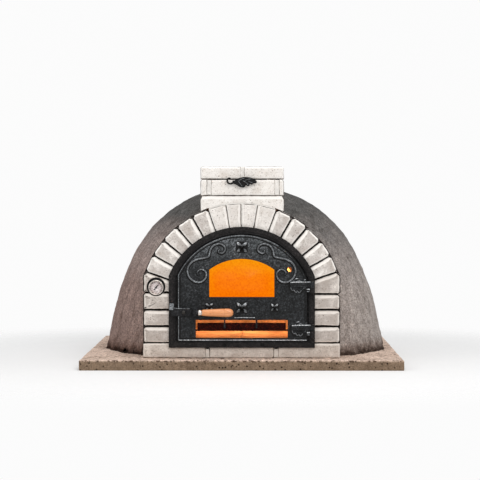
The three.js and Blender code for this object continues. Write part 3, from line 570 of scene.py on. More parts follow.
def sweep(name, pts, radius, mat, body, side=12, sub=6, flat=0.75):
    """rounded moulding along points (mm); radius is a number or a list, one per point"""
    P = [Vector(p) for p in pts]
    rad = radius if isinstance(radius, (list, tuple)) else [radius] * len(P)
    line, rr = [], []
    for i in range(len(P) - 1):
        p0, p1, p2, p3 = P[max(i - 1, 0)], P[i], P[i + 1], P[min(i + 2, len(P) - 1)]
        for k in range(sub):
            t = k / sub
            line.append(0.5 * ((2 * p1) + (p2 - p0) * t + (2 * p0 - 5 * p1 + 4 * p2 - p3) * t * t + (3 * p1 - p0 - 3 * p2 + p3) * t ** 3))
            rr.append(rad[i] + (rad[i + 1] - rad[i]) * t)
    line.append(P[-1])
    rr.append(rad[-1])
    up = Vector((0, -1, 0))
    verts, faces = [], []
    N = len(line)
    for i, p in enumerate(line):
        t = (line[min(i + 1, N - 1)] - line[max(i - 1, 0)]).normalized()
        s = t.cross(up).normalized()
        for k in range(side):
            a = 2 * math.pi * k / side
            verts.append((p + s * (rr[i] * math.cos(a)) + up * (rr[i] * flat * math.sin(a))) * S)
    for i in range(N - 1):
        for k in range(side):
            a, b = i * side + k, i * side + (k + 1) % side
            faces.append((a, b, b + side, a + side))
    faces.append(tuple(range(side)))
    faces.append(tuple(range((N - 1) * side, N * side)))
    return new_mesh(name, verts, faces, mat, body, True, 50)


# ---------------------------------------------------------------- masonry
FACE_Y, HEAD_Y = -555, -335
ARCH_C, RI, COL_IN, COL_OUT = 213.2, 300, 280, 398.8


def quad(x0, x1, z0, z1, z0b=None, z1b=None):
    return [(x0, z0), (x1, z0 if z0b is None else z0b), (x1, z1 if z1b is None else z1b), (x0, z1)]


def mortar(name, x0, x1, z0, z1, y0, y1, mat, seed, v=0.0):
    """a flush strip of mortar between two blocks, its top lowered by v where v is given"""
    poly = quad(x0, x1, z0, z1)
    if v:
        poly = [(x0, z0), (x1, z0), (x1, z1 - 1), ((x0 + x1) / 2, z1 - v), (x0, z1 - 1)]
        poly = [(x0, z0), (x1, z0), (x1, z1 - v), (x0, z1 - v)]
    o = brick(name, poly, y0, y1, [1.6] * 4, 0.7, mat, seed, depth=3, amp=0.9)
    return o


def masonry():
    for i, (nm, x0, x1, bv) in enumerate([("base_block_left", -COL_OUT, -146.6, [2, 2.5, 6, 5]),
                                          ("base_block_centre", -130.0, 130.0, [2, 2.5, 6, 2.5]),
                                          ("base_block_right", 148.0, COL_OUT, [2, 5, 6, 2.5])]):
        nips = ({2: 7}, {2: 7, 3: 7, 0: 3, 1: 6}, {3: 7})[i]
        P, B = nipped(quad(x0, x1, 0.3, 60), bv, nips, 1.0)
        o = brick(nm + "_v", P, FACE_Y, HEAD_Y, B, 0.7, MB_BASE, 3.1 + i)
        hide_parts(nm)
    mortar("base_joint_left", -147.2, -129.6, 0.6, 39, FACE_Y + 0.3, HEAD_Y, MORTAR_B, 2.2)
    mortar("base_joint_right", 129.6, 148.6, 0.6, 39, FACE_Y + 0.3, HEAD_Y, MORTAR_B, 4.2)
    slope = lambda x: ARCH_C + abs(x) / math.tan(math.radians(70.6))
    for side, s, z4 in (("left", -1, 264.5), ("right", 1, 258.9)):
        lv = [60.4, 128.2, 195.3, z4]
        xs = (-COL_OUT, -COL_IN) if s < 0 else (COL_IN, COL_OUT)
        for i in range(4):
            z0 = lv[i] + (0.2 if i else 0)
            p = quad(xs[0], xs[1], z0, lv[i + 1] - 0.2) if i < 3 else quad(xs[0], xs[1], z0, slope(xs[0]) - 0.3, z0, slope(xs[1]) - 0.3)
            top = 9 if i < 3 else 18
            P, B = nipped(p, [4, 3, 12, 6], {0: 6, 3: top}, 4.0) if s < 0 else nipped(p, [4, 6, 12, 3], {1: 6, 2: top}, 4.0)
            o = brick(f"column_{side}_{i + 1}_v", P, FACE_Y, HEAD_Y, B, 4.0, MB_COLUMN, 11 + i * 1.7 + s * 5)
            if s < 0 and i >= 2:
                carve(o, [drum(37.8, FACE_Y - 20, FACE_Y + 15, -346.0, 288.2, 64)] + ([drum(3.6, FACE_Y + 6, HEAD_Y + 10, -346, 285, 24)] if i == 3 else []), True)
            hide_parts(f"column_{side}_{i + 1}")
    J = [-70.6, -60.4, -50.2, -39.7, -29.3, -19.1, -8.8, -0.3, 8.9, 19.7, 30.0, 40.0, 50.8, 60.7, 70.6]
    WR = [415, 414, 415, 413, 414, 412, 411, 411, 412, 413, 415, 413, 415, 414]
    for i in range(14):
        e = 0.3 / 360
        a0, a1 = math.radians(J[i]) + e, math.radians(J[i + 1]) - e
        P = lambda r, a: (r * math.sin(a), ARCH_C + r * math.cos(a))
        crown = 5 <= i <= 8
        rk = 1.2 if crown else 3.1
        poly = [P(RI, a0), P(RI, a1), P(WR[i], a1), P(WR[i], a0)]
        bev = [3, 9 if crown else 13, 2 if crown else 5, 4] if i < 7 else [3, 4, 2 if crown else 5, 9 if crown else 13]
        Q, B = nipped(poly, bev, {} if crown else {2: 11, 3: 11}, rk)
        nm = f"voussoir_{i + 1:02d}"
        o = brick(nm + "_v", Q, FACE_Y, -441 if crown else HEAD_Y, B, rk, MB_CROWN if crown else MB_ARCH, 21.3 + i * 2.1)
        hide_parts(nm)
    # painted shade: dark prisms behind the nipped corners and in the tops of the base joints stand in for the shade in
    # those notches
    W = [[(-148.0, 59.6), (-148.0, 44), (-138.3, 35.5), (-128.6, 44), (-128.6, 59.6)], [(128.6, 59.6), (128.6, 44), (139.1, 35.5), (149.6, 44), (149.6, 59.6)]]
    for s in (-1, 1):
        for z, a, b in ((60, 7, 6), (128.2, 9, 6), (195.3, 9, 6)):
            W.append([(s * (COL_OUT - a), z), (s * (COL_OUT - 0.5), z - a + 0.5), (s * (COL_OUT - 0.5), z + b - 0.5)])
        W.append([(s * (COL_OUT - 16), slope(COL_OUT - 16) - 1), (s * (COL_OUT - 0.5), slope(COL_OUT) - 16),
                  (s * 413 * math.sin(math.radians(69.2)), ARCH_C + 413 * math.cos(math.radians(69.2)))])
    for k in (1, 2, 3, 4, 10, 11, 12, 13):
        P = lambda r, a: (r * math.sin(math.radians(a)), ARCH_C + r * math.cos(math.radians(a)))
        W.append([P(403, J[k]), P(413.4, J[k] + 1.5), P(413.4, J[k] - 1.5)])
    for k, pts in enumerate(W):
        me = prism(pts, FACE_Y + (0.4 if k < 2 else 5), FACE_Y + 24)
        b = bpy.data.objects.new(f"corner_shade_{k + 1:02d}", me)
        bpy.context.scene.collection.objects.link(b)
        me.materials.append(MORTAR_SHADE)
        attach(b, "oven")


def prism(pts, y0, y1, axis="y"):
    """closed prism of an outline in x,z (axis y) or x,y (axis z), for cutting; mm, heights above the slab"""
    n = len(pts)
    if axis == "y":
        v = [(p[0] * S, y * S, (p[1] + Z0) * S) for y in (y0, y1) for p in pts]
    else:
        v = [(p[0] * S, p[1] * S, (z + Z0) * S) for z in (y0, y1) for p in pts]
    f = [tuple(range(n)), tuple(range(n, 2 * n))] + [(i, (i + 1) % n, (i + 1) % n + n, i + n) for i in range(n)]
    me = bpy.data.meshes.new("cutter")
    me.from_pydata(v, [], f)
    bm = bmesh.new()
    bm.from_mesh(me)
    bmesh.ops.recalc_face_normals(bm, faces=bm.faces)
    bm.to_mesh(me)
    bm.free()
    return me


def drum(r, y0, y1, x, z, n):
    return prism([(x + r * math.cos(2 * math.pi * k / n), z + r * math.sin(2 * math.pi * k / n)) for k in range(n)], y0, y1)


def body_volume(me):
    bm = bmesh.new()
    bm.from_mesh(me)
    v = abs(bm.calc_volume())
    bm.free()
    return v


def carve(o, meshes, worn=False, keep=0.5):
    """cuts closed shapes out of a piece and keeps the result as its mesh"""
    cutters = []
    for i, me in enumerate(meshes):
        c = bpy.data.objects.new("cutter", me)
        bpy.context.scene.collection.objects.link(c)
        cutters.append(c)
        m = o.modifiers.new("cut", "BOOLEAN")
        m.operation = "DIFFERENCE"
        m.solver = "EXACT"
        m.use_self = worn
        m.object = c
    whole = body_volume(o.data)
    # a cut that loses the piece is made again with the other setting
    for way in (worn, not worn, worn, not worn):
        for m in o.modifiers:
            m.use_self = way
        bpy.context.view_layer.update()
        dg = bpy.context.evaluated_depsgraph_get()
        me = bpy.data.meshes.new_from_object(o.evaluated_get(dg), preserve_all_data_layers=True, depsgraph=dg)
        if keep * whole < body_volume(me) < 1.02 * whole:
            break
    o.modifiers.clear()
    old = o.data
    o.data = me
    bpy.data.meshes.remove(old)
    for c in cutters:
        d = c.data
        bpy.data.objects.remove(c)
        bpy.data.meshes.remove(d)
    me.set_sharp_from_angle(angle=math.radians(50))


masonry()


def chimney():
    X0, X1, Y1 = -166.5, 170.5, -218
    L0, L1, M, T = 594, 656.4, 722.8, 772.9
    fl = lambda z0, z1: prism([(-90, -440), (90, -440), (90, -340), (-90, -340)], z0, z1, "z")
    slot = lambda: prism([(-103, M - 2.5), (103, M - 2.5), (103, M + 2.5), (-103, M + 2.5)], -600, Y1 - 7)
    made = {}
    w = 8.2
    # lower course
    z0, z1 = L1 + 0.4, M - 0.2
    P, B = nipped(quad(X0, -131.5 - w, z0, z1), [3, 2.5, 5, 5], {3: 8}, 1.6)
    made["chimney_lower_left"] = [brick("chimney_lower_left_v", P, FACE_Y, Y1, B, [1.4] * len(P), MB_CHIM, 51.0)]
    P, B = nipped(quad(142.3 + w, X1, z0, z1), [3, 5, 5, 2.5], {2: 8}, 1.6)
    made["chimney_lower_right"] = [brick("chimney_lower_right_v", P, FACE_Y, Y1, B, [1.4] * len(P), MB_CHIM, 53.0)]
    o = brick("chimney_lower_front_v", quad(-131.5 + w, 142.3 - w, z0, z1), FACE_Y, -390.2, [3, 2.5, 5, 2.5], [1.6, 0.6, 2.0, 0.6], MB_CHIM, 55.0)
    carve(o, [fl(z0 - 20, z1 + 20), slot()])
    made["chimney_lower_front"] = [o]
    o = brick("chimney_lower_back_v", quad(-131.5 + w, 142.3 - w, z0, z1), -389.8, Y1, [0.8] * 4, 0.6, MB_CHIM, 57.0)
    carve(o, [fl(z0 - 20, z1 + 20), slot()])
    made["chimney_lower_back"] = [o]
    # upper course
    u0 = M + 0.2
    m = 3.0
    for nm, a, b, bv, nip, sd in (("chimney_upper_left", X0, m - 7.4, [4, 2.5, 5, 5], {3: 6}, 59.0), ("chimney_upper_right", m + 7.4, X1, [4, 5, 5, 2.5], {2: 6}, 61.0)):
        P, B = nipped(quad(a, b, u0, T), bv, nip, 1.4)
        rk = [2.0] + [0.8] * (len(P) - 1)
        o = brick(nm + "_v", P, FACE_Y, Y1, B, rk, MB_CHIM, sd)
        carve(o, [fl(u0 - 20, T + 30), slot()])
        made[nm] = [o]
    for k, v in made.items():
        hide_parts(k)
    # light mortar in the upright joints
    mortar("chimney_joint_left", -131.5 - w - 1.2, -131.5 + w + 1.2, z0 + 1, z1 - 2.5, FACE_Y + 0.3, Y1 - 1, MORTAR_L, 63.0)
    mortar("chimney_joint_right", 142.3 - w - 1.2, 142.3 + w + 1.2, z0 + 1, z1 - 2.5, FACE_Y + 0.3, Y1 - 1, MORTAR_L, 65.0)
    mortar("chimney_joint_top_front", m - 8.8, m + 8.8, u0 + 3.4, T - 0.6, FACE_Y + 0.3, -441, MORTAR_L, 67.0)
    mortar("chimney_joint_top_back", m - 7.0, m + 7.0, u0 + 0.6, T - 0.6, -339, Y1 - 1, MORTAR_L, 69.0)
    # cast lintel: front face dressed like the blocks, throat and skirt behind
    P = [(X0, L0), (X1, L0), (X1, 640), (X1 - 8, L1), (X0 + 8, L1), (X0, 640)]
    o = brick("chimney_lintel_v", P, FACE_Y, Y1, [1, 3, 3, 12, 3, 3], [1.0, 1.2, 1.2, 1.4, 1.2, 1.2], MB_CHIM, 71.0)
    n = 56
    ext = [(415.6 * math.sin(math.radians(a)), ARCH_C + 415.6 * math.cos(math.radians(a))) for a in [-60 + 120 * k / n for k in range(n + 1)]]
    ext = [(x, z) for x, z in ext]
    ext = [(ext[0][0], 300)] + ext + [(ext[-1][0], 300)]
    carve(o, [fl(L0 - 300, L1 + 20), prism(ext, -700, HEAD_Y + 1)], keep=0.2)
    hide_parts("chimney_lintel")
    arc = []
    for r, ks in ((409.8, range(0, 33)), (417.4, range(32, -1, -1))):
        for k in ks:
            a = math.radians(-18.6 + 37.6 * k / 32)
            arc.append((r * math.sin(a), ARCH_C + r * math.cos(a)))
    for k, a in enumerate((-19.1, -8.8, -0.3, 8.9, 19.7)):
        P = lambda r, t: (r * math.sin(math.radians(t)), ARCH_C + r * math.cos(math.radians(t)))
        e = 0.16 if a < 5 else -1.0
        pm = prism([P(326, a + e), P(326, a + e + 0.8), P(410, a + e + 0.9), P(410, a + e)], FACE_Y + 0.8, FACE_Y + 30)
        b = bpy.data.objects.new(f"crown_pointing_{k + 1}", pm)
        bpy.context.scene.collection.objects.link(b)
        pm.materials.append(MORTAR_L)
        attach(b, "oven")
    me = prism(arc, FACE_Y + 1.0, -441)
    b = bpy.data.objects.new("crown_mortar", me)
    bpy.context.scene.collection.objects.link(b)
    me.materials.append(MORTAR_L)
    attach(b, "oven")
    # throat and skirt under the block
    src = NODES["chimney_lintel"]
    me = src.data.copy()
    me.transform(src.matrix_world)
    me.materials.clear()
    me.materials.append(MB_CHIM)
    r = bpy.data.objects.new("chimney_throat", me)
    bpy.context.scene.collection.objects.link(r)
    carve(r, [prism([(-300, L0 - 0.6), (300, L0 - 0.6), (300, 700), (-300, 700)], -600, -100)], keep=0.02)
    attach(r, "oven")
    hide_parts("chimney_lintel")


chimney()

# wears imported blocks with bevel, voxel remesh and displace modifiers; nothing in this script calls it
def dress(names, mat, width=2.2, seg=3, disp=0.0014, size=0.03, sub=3):
    tex = bpy.data.textures.new("wear_" + names[0], "CLOUDS")
    tex.noise_scale = size
    tex.noise_depth = 3
    for n in names:
        o = NODES[n]
        b = o.modifiers.new("bevel", "BEVEL")
        b.width = width * S
        b.segments = seg
        b.limit_method = "ANGLE"
        b.angle_limit = math.radians(32)
        b.harden_normals = False
        if sub:
            r = o.modifiers.new("grid", "REMESH")
            r.mode = "VOXEL"
            r.voxel_size = 0.0024
            r.use_smooth_shade = True
            d = o.modifiers.new("wear", "DISPLACE")
            d.texture = tex
            d.texture_coords = "LOCAL"
            d.strength = disp * 2
            d.mid_level = 0.5
        use(o, mat)




# ---------------------------------------------------------------- dome render
DOME_X = 11.5
DOME = [(600, 0), (596, 24), (590, 50), (577, 110), (563, 175), (544.5, 248), (519.5, 315), (489.5, 385), (455.5, 446),
        (412, 507), (360, 563), (304, 608), (243, 644), (182, 668), (118, 684), (60, 691), (0, 693)]


def spline(pts, n):
    P = [Vector((x, y)) for x, y in pts]
    out = []
    for k in range(n + 1):
        t = k / n * (len(P) - 1)
        i = min(int(t), len(P) - 2)
        f = t - i
        p0, p1, p2, p3 = P[max(i - 1, 0)], P[i], P[i + 1], P[min(i + 2, len(P) - 1)]
        out.append(0.5 * ((2 * p1) + (p2 - p0) * f + (2 * p0 - 5 * p1 + 4 * p2 - p3) * f * f + (3 * p1 - p0 - 3 * p2 + p3) * f ** 3))
    return out


def make_dome():
    seg, rows = 300, 130
    prof = spline(DOME, rows)
    verts, faces = [], []
    for k, p in enumerate(prof[:-1]):
        q = prof[k + 1]
        t = (q - p).normalized()
        nr, nz = -t.y, t.x
        if nr < 0:
            nr, nz = t.y, -t.x
        for i in range(seg):
            a = 2 * math.pi * i / seg
            ca, sa = math.cos(a), math.sin(a)
            w = Vector((p.x * ca + DOME_X, p.x * sa + 15, p.y + Z0)) * S
            d = noise.noise(w * 5.0) * 0.0035 + noise.noise(w * 17) * 0.0024 + noise.noise(w * 48 + Vector((3, 1, 2))) * 0.0016 + noise.noise(w * 120) * 0.0009
            foot = max(0.0, 1 - p.y / 55)
            d += foot * foot * (noise.noise(w * 20 + Vector((9, 4, 1))) * 0.022 + noise.noise(w * 70) * 0.008 - 0.004)
            r = p.x * S + nr * d
            z = (p.y + Z0) * S + nz * d
            if k == 0:
                z = Z0 * S + 0.0004
            z = min(z, (693 + Z0 + 4) * S)
            verts.append((r * ca + DOME_X * S, r * sa + 0.015, z))
    top = len(verts)
    verts.append((DOME_X * S, 0.015, (693 + Z0) * S))
    R = rows
    for k in range(R - 1):
        for i in range(seg):
            a, b = k * seg + i, k * seg + (i + 1) % seg
            faces.append((a, b, b + seg, a + seg))
    for i in range(seg):
        faces.append(((R - 1) * seg + i, (R - 1) * seg + (i + 1) % seg, top))

    def inside(v):
        x, y, z = v[0] * 1000, v[1] * 1000, v[2] * 1000 - Z0
        if y < -337:
            if abs(x) < 390 and z < ARCH_C + 20:
                return True
            if math.hypot(x, z - ARCH_C) < 404:
                return True
            if -160 < x < 165 and z > 500:
                return True
        return -158 < x < 162 and -337 <= y < -226 and z > 604

    hid = [inside(v) for v in verts]
    faces = [f for f in faces if not all(hid[i] for i in f)]
    used = sorted({i for f in faces for i in f})
    ix = {v: k for k, v in enumerate(used)}
    o = new_mesh("dome_render", [verts[i] for i in used], [tuple(ix[i] for i in f) for f in faces], render_material(), "oven", True, 0)
    s = o.modifiers.new("thickness", "SOLIDIFY")
    s.thickness = 0.024
    s.offset = -1
    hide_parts("outer_render")
    return o


make_dome()


# ---------------------------------------------------------------- slab
def make_slab():
    n = 150
    bm = bmesh.new()
    bmesh.ops.create_grid(bm, x_segments=n, y_segments=n, size=0.65)
    top = {}
    for v in bm.verts:
        v.co.z = Z0 * S
    border = [e for e in bm.edges if e.is_boundary]
    loop = border
    for dz, dx in ((-0.0012, 0.0022), (-0.0045, 0.004), (-0.014, 0.004), (-0.022, 0.004), (-0.030, 0.004), (-0.0365, 0.004), (-0.0405, 0.002)):
        r = bmesh.ops.extrude_edge_only(bm, edges=loop)
        vs = [g for g in r["geom"] if isinstance(g, bmesh.types.BMVert)]
        loop = [g for g in r["geom"] if isinstance(g, bmesh.types.BMEdge) and g.is_boundary]
        for v in vs:
            v.co.z = Z0 * S + dz
            v["o"] if False else None
    bmesh.ops.contextual_create(bm, geom=loop)
    for v in bm.verts:
        z = v.co.z
        lip = max(0.0, 1 - abs(z - Z0 * S) / 0.005)
        low = max(0.0, 1 - z / 0.004) if z < 0.004 else 0
        k = 0.65 - 0.003 * lip - 0.002 * low
        m = max(abs(v.co.x), abs(v.co.y))
        if m > 0.6499:
            s = k / m
            v.co.x *= s
            v.co.y *= s
    me = bpy.data.meshes.new("slab")
    out = {}
    for v in bm.verts:
        p = v.co.copy()
        side = max(abs(p.x), abs(p.y)) > 0.64
        d = noise.noise(p * 12) * 0.0012 + noise.noise(p * 45) * 0.0012 + noise.noise(p * 110) * 0.0008
        c = noise.noise(p * 60 + Vector((5, 2, 8)))
        if c > 0.33:
            d -= (c - 0.33) * 0.012
        if side:
            q = Vector((p.x, p.y, 0)).normalized()
            ax = Vector((math.copysign(1, p.x), 0, 0)) if abs(p.x) > abs(p.y) else Vector((0, math.copysign(1, p.y), 0))
            v.co = p + ax * min(0.0004, d - 0.001)
            if p.z > Z0 * S - 0.002:
                v.co.z += min(0, d)
        elif p.z > 0.03:
            v.co.z = min(p.z + d * 0.8 - 0.0006, Z0 * S + 0.0008)
        if v.co.z < 0.002:
            v.co.z = 0.0
    bm.to_mesh(me)
    bm.free()
    o = bpy.data.objects.new("slab_cast", me)
    bpy.context.scene.collection.objects.link(o)
    me.shade_smooth()
    me.set_sharp_from_angle(angle=math.radians(50))
    me.materials.append(slab_material())
    xs = [v.co.x for v in me.vertices]
    ys = [v.co.y for v in me.vertices]
    fx, fy = 1.2998 / (max(xs) - min(xs)), 1.2998 / (max(ys) - min(ys))
    for v in me.vertices:
        v.co.x *= fx
        v.co.y *= fy
    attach(o, "oven")
    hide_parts("base_slab")


make_slab()


# ---------------------------------------------------------------- iron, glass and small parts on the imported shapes
def edge_soft(names, mat, width=0.8, angle=35):
    for n in names:
        o = NODES[n]
        use(o, mat)
        w = o.modifiers.new("weld", "WELD")
        w.merge_threshold = 1e-5
        b = o.modifiers.new("bevel", "BEVEL")
        b.width = width * S
        b.segments = 2
        b.limit_method = "ANGLE"
        b.angle_limit = math.radians(angle)
        b.use_clamp_overlap = True
        o.data.shade_smooth()


def refine(node, mat, body, width=0.7, seg=2, cutters=None):
    """a piece of the same shape with its vertices welded again and its edges rounded"""
    src = NODES[node]
    bm = bmesh.new()
    bm.from_mesh(src.data)
    bm.transform(src.matrix_world)
    bmesh.ops.remove_doubles(bm, verts=bm.verts, dist=2e-5)
    bmesh.ops.dissolve_degenerate(bm, edges=bm.edges, dist=1e-5)
    me = bpy.data.meshes.new(node + "_v")
    bm.to_mesh(me)
    bm.free()
    o = bpy.data.objects.new(node + "_v", me)
    bpy.context.scene.collection.objects.link(o)
    me.materials.clear()
    me.materials.append(mat)
    for p in me.polygons:
        p.material_index = 0
    if cutters:
        carve(o, cutters)
        me = o.data
    me.shade_smooth()
    me.set_sharp_from_angle(angle=math.radians(30))
    b = o.modifiers.new("bevel", "BEVEL")
    b.width = width * S
    b.segments = seg
    b.limit_method = "ANGLE"
    b.angle_limit = math.radians(32)
    b.use_clamp_overlap = False
    b.harden_normals = False
    w = o.modifiers.new("normals", "WEIGHTED_NORMAL")
    w.keep_sharp = True
    w.weight = 80
    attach(o, body)
    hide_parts(node)
    return o


def by_angle(o, deg=35):
    o.data.shade_smooth()
    o.data.set_sharp_from_angle(angle=math.radians(deg))


# the latch keeper takes the lit relief iron: a painted highlight
for n, mat, body in (("door_leaf", IRON, "door"), ("door_frame", IRON_F, "oven"), ("latch_lever", IRON_L, "latch"), ("latch_keeper", IRON_LIT_RELIEF, "oven"),
                     ("damper", IRON_D, "damper_body"), ("draught_flap", FLAP, "draught")):
    tools = None
    if n == "door_leaf":
        tools = [prism([(x - r, h - r), (x + r, h - r), (x + r, h + r), (x - r, h + r)], -590, -566.05)
                 for x, h, r in ((1, 448.6, 30), (1, 204.4, 30), (-130, 208, 23), (133, 206, 23))]
    refine(n, mat, body, cutters=tools)

for n, mat in (("glass_retainer", IRON_D), ("hinge_pin_upper", PIN),
               ("hinge_pin_lower", PIN), ("latch_bolt", PIN), ("latch_ferrule", STEEL), ("latch_handle", WOOD),
               ("thermometer_case", STEEL), ("thermometer_dial", DIAL), ("thermometer_glass", CLEAR),
               ("thermometer_needle", NEEDLE), ("window_glass", AMBER), ("vault_course_1", FIRE), ("vault_course_2_left", FIRE),
               ("vault_course_2_right", FIRE),
               ("vault_crown", FIRE), ("hearth_tile_left", FIRE), ("hearth_tile_right", FIRE), ("hearth_insulation", BOARD),
               ("insulation_blanket", WOOL)):
    o = NODES[n]
    use(o, mat)
    w = o.modifiers.new("weld", "WELD")
    w.merge_threshold = 1e-5
    by_angle(o, 32)

# ---- relief on the door leaf
Y0 = -566.0
px = lambda u, v: ((u - 242.2) * 4.038, 656.6 - (v - 195.5) * 4.038)
SCROLL = [(221, 249.3), (219.3, 250.2), (219.6, 252.2), (222, 253), (224.8, 251.6), (226, 248.6), (224, 245),
          (219.3, 243.6), (214.2, 245.4), (211.3, 249), (210.2, 253.2), (209, 256.4), (204, 257.8), (197, 259.4), (191.6, 262.8),
          (188.7, 267.6), (188.4, 272.5), (190.6, 277.6), (195.2, 281.2), (200.4, 282), (204.6, 279.8), (207, 275.8), (206.4, 271.6),
          (203, 269.2), (199.8, 269.9), (198, 272.4), (199.4, 274.8)]


def P3(x, y, h):
    return (x, y, h + Z0)


def strip(name, pts, r, mat, body, flat=0.75, sub=6, side=10, dx=0.0, dz=0.0):
    return sweep(name, [P3(x + dx, y, h + dz) for x, y, h in pts], r, mat, body, side, sub, flat)


# scrolls: the ridge in the lit relief iron is a painted highlight, and the wide flat dark strip set below and left of
# it is painted shadow
for s, tag in ((1, "left"), (-1, "right")):
    line = [(s * px(u, v)[0], Y0 - 1.6, px(u, v)[1]) for u, v in SCROLL]
    rad = [1.5 + 1.9 * max(0.0, math.sin(math.pi * k / (len(line) - 1))) ** 0.5 for k in range(len(line))]
    strip("scroll_" + tag, line, rad, IRON_LIT_RELIEF, "door", 0.9)
    strip("scroll_painted_shadow_" + tag, [(x, Y0 - 0.1, h) for x, _, h in line], [r + 4.2 for r in rad], IRON_D, "door", 0.22, dx=-0.8, dz=-1.8)


def arch_line(xl, xr, R, zb, y, n=40, closed=True):
    a0, a1 = math.asin(xr / R), math.asin(xl / R)
    p = [(xl, y, zb), (0.5 * (xl + xr), y, zb), (xr, y, zb), (xr, y, 0.5 * (zb + ARCH_C))]
    for k in range(n + 1):
        a = a0 + (a1 - a0) * k / n
        p.append((R * math.sin(a), y, ARCH_C + R * math.cos(a)))
    p += [(xl, y, 0.5 * (zb + ARCH_C)), (xl, y, zb)]
    return p


def polyline(name, pts, r, mat, body, flat=0.8):
    """moulding that keeps its corners"""
    q = [pts[0]]
    for a, b in zip(pts, pts[1:]):
        d = math.dist(a, b)
        if d > 8:
            q += [tuple(a[i] + (b[i] - a[i]) * t for i in range(3)) for t in (2.5 / d, 1 - 2.5 / d)]
        q.append(b)
    return sweep(name, [P3(*p) for p in q], r, mat, body, 8, 1, flat)


# bead round the leaf: its left and upper run in the lit relief iron is a painted highlight, its right run in the
# darkest iron is painted shade, and the bottom line in the highlight iron is a painted highlight
LB = arch_line(-254.4, 262.5, 282.7, 73.5, Y0 - 2.2)
polyline("leaf_bead", [p for p in LB[4:] if p[0] < 150], 1.5, IRON_LIT_RELIEF, "door")
polyline("leaf_bead_right", LB[2:4] + [p for p in LB[4:-2] if p[0] >= 145], 1.5, IRON_D, "door")
polyline("leaf_bottom_highlight", [LB[0], LB[2]], 1.7, IRON_HIGHLIGHT, "door")
polyline("leaf_shadow_line", arch_line(-247.4, 255.5, 275.7, 80.5, Y0 - 0.1), 2.2, IRON_D, "door", 0.2)
polyline("frame_bead", arch_line(-268.0, 271.5, 292.0, 67.0, -566.2), 1.3, IRON_L, "oven")
# painted shade: two dark strips on the frame's bottom rail stand in for the shade in its two notches
for x in (-67, 83):
    strip(f"frame_notch_shade_{x}", [(x, -566.4, 44.5), (x, -566.4, 50), (x, -566.4, 60)], 2.6, IRON_D, "oven", 0.3)


def leaf_shape(name, x, h, length, width, ang, lift, mat, y=Y0, body="door", n=14):
    """a pointed leaf with a raised midrib, lying on a face"""
    c, s = math.cos(math.radians(ang)), math.sin(math.radians(ang))
    verts, faces = [], []
    rows = n
    for i in range(rows + 1):
        t = i / rows
        w = width * (math.sin(math.pi * min(1, t ** 0.8)) ** 0.8 if 0 < t < 1 else 0.02)
        for k, (kk, hh) in enumerate(((-1, 0), (-0.6, 0.55), (-0.12, 0.7), (0, 1.0), (0.12, 0.7), (0.6, 0.55), (1, 0))):
            a, b = t * length, kk * w
            q = lift * hh * (0.35 + 0.65 * math.sin(math.pi * min(0.98, t + 0.05)))
            verts.append(((x + a * c - b * s) * S, (y + 0.5 - q) * S, (h + a * s + b * c + Z0) * S))
    m = 7
    for i in range(rows):
        for k in range(m - 1):
            a = i * m + k
            faces.append((a, a + 1, a + m + 1, a + m))
    # closed back
    nb = len(verts)
    for i in range(rows + 1):
        for k in (0, m - 1):
            v = verts[i * m + k]
            verts.append((v[0], (y + 2.0) * S, v[2]))
    for i in range(rows):
        a, b = nb + 2 * i, nb + 2 * i + 1
        faces.append((a, a + 2, b + 2, b))
        faces.append((i * m, (i + 1) * m, a + 2, a))
        faces.append((i * m + m - 1, (i + 1) * m + m - 1, b + 2, b))
    faces.append(tuple(range(m)) + (nb + 1, nb))
    e = rows * m
    faces.append(tuple(range(e, e + m)) + (nb + 2 * rows + 1, nb + 2 * rows))
    return new_mesh(name, verts, faces, mat, body, True, 38)


def plaque(name, x, h, w, y, t, mat, body="door", r=4):
    pts = [(x + sx * (w - r) + r * math.cos(a), h + sz * (w - r) + r * math.sin(a))
           for (sx, sz, a0) in ((1, 1, 0), (-1, 1, 90), (-1, -1, 180), (1, -1, 270)) for a in [math.radians(a0 + 30 * k) for k in range(4)]]
    n = len(pts)
    f = lambda k, yy: [((x + (p[0] - x) * k) * S, yy * S, (h + (p[1] - h) * k + Z0) * S) for p in pts]
    verts = f(1, y + 1.5) + f(1, y - t * 0.6) + f(0.93, y - t)
    faces = [tuple(range(n)), tuple(range(2 * n, 3 * n))]
    for b in (0, n):
        faces += [(b + i, b + (i + 1) % n, b + n + (i + 1) % n, b + n + i) for i in range(n)]
    return new_mesh(name, verts, faces, mat, body, True, 40)


# rosettes: the upper leaves and spikes in the highlight iron and the lower leaves in the lit relief iron are painted
# highlights; the lower spikes, the boss and the square plate behind, in the darkest iron, are painted shade
for tag, x, h, r in (("top", 1, 448.6, 24), ("middle", 1, 204.4, 24), ("left", -130, 208, 17), ("right", 133, 206, 17)):
    plaque("rosette_shade_plate_" + tag, x, h, r * 0.98, Y0, 1.6, IRON_D)
    k = r / 24
    for i, a in enumerate((45, 135, 225, 315)):
        ca, sa = math.cos(math.radians(a)), math.sin(math.radians(a))
        leaf_shape(f"rosette_{tag}_leaf_{i}", x + ca * 9 * k, h + sa * 9 * k, 21 * k, 6.8 * k, a, 9 * k, IRON_HIGHLIGHT if i < 2 else IRON_LIT_RELIEF)
    for i, a in enumerate((62, 118, 242, 298)):
        ca, sa = math.cos(math.radians(a)), math.sin(math.radians(a))
        leaf_shape(f"rosette_{tag}_spike_{i}", x + ca * 2 * k, h + sa * 2 * k, 17 * k, 3.2 * k, a, 13 * k, IRON_HIGHLIGHT if i < 2 else IRON_D)
    lathe(f"rosette_{tag}_boss", [(0, 15 * k), (2.4 * k, 14.4 * k), (5 * k, 11.5 * k), (6.6 * k, 7 * k), (7.4 * k, 0), (7.4 * k, -1), (0, -1)], 20, "y",
          (x, Y0, h + Z0), IRON_D, "door", 50)

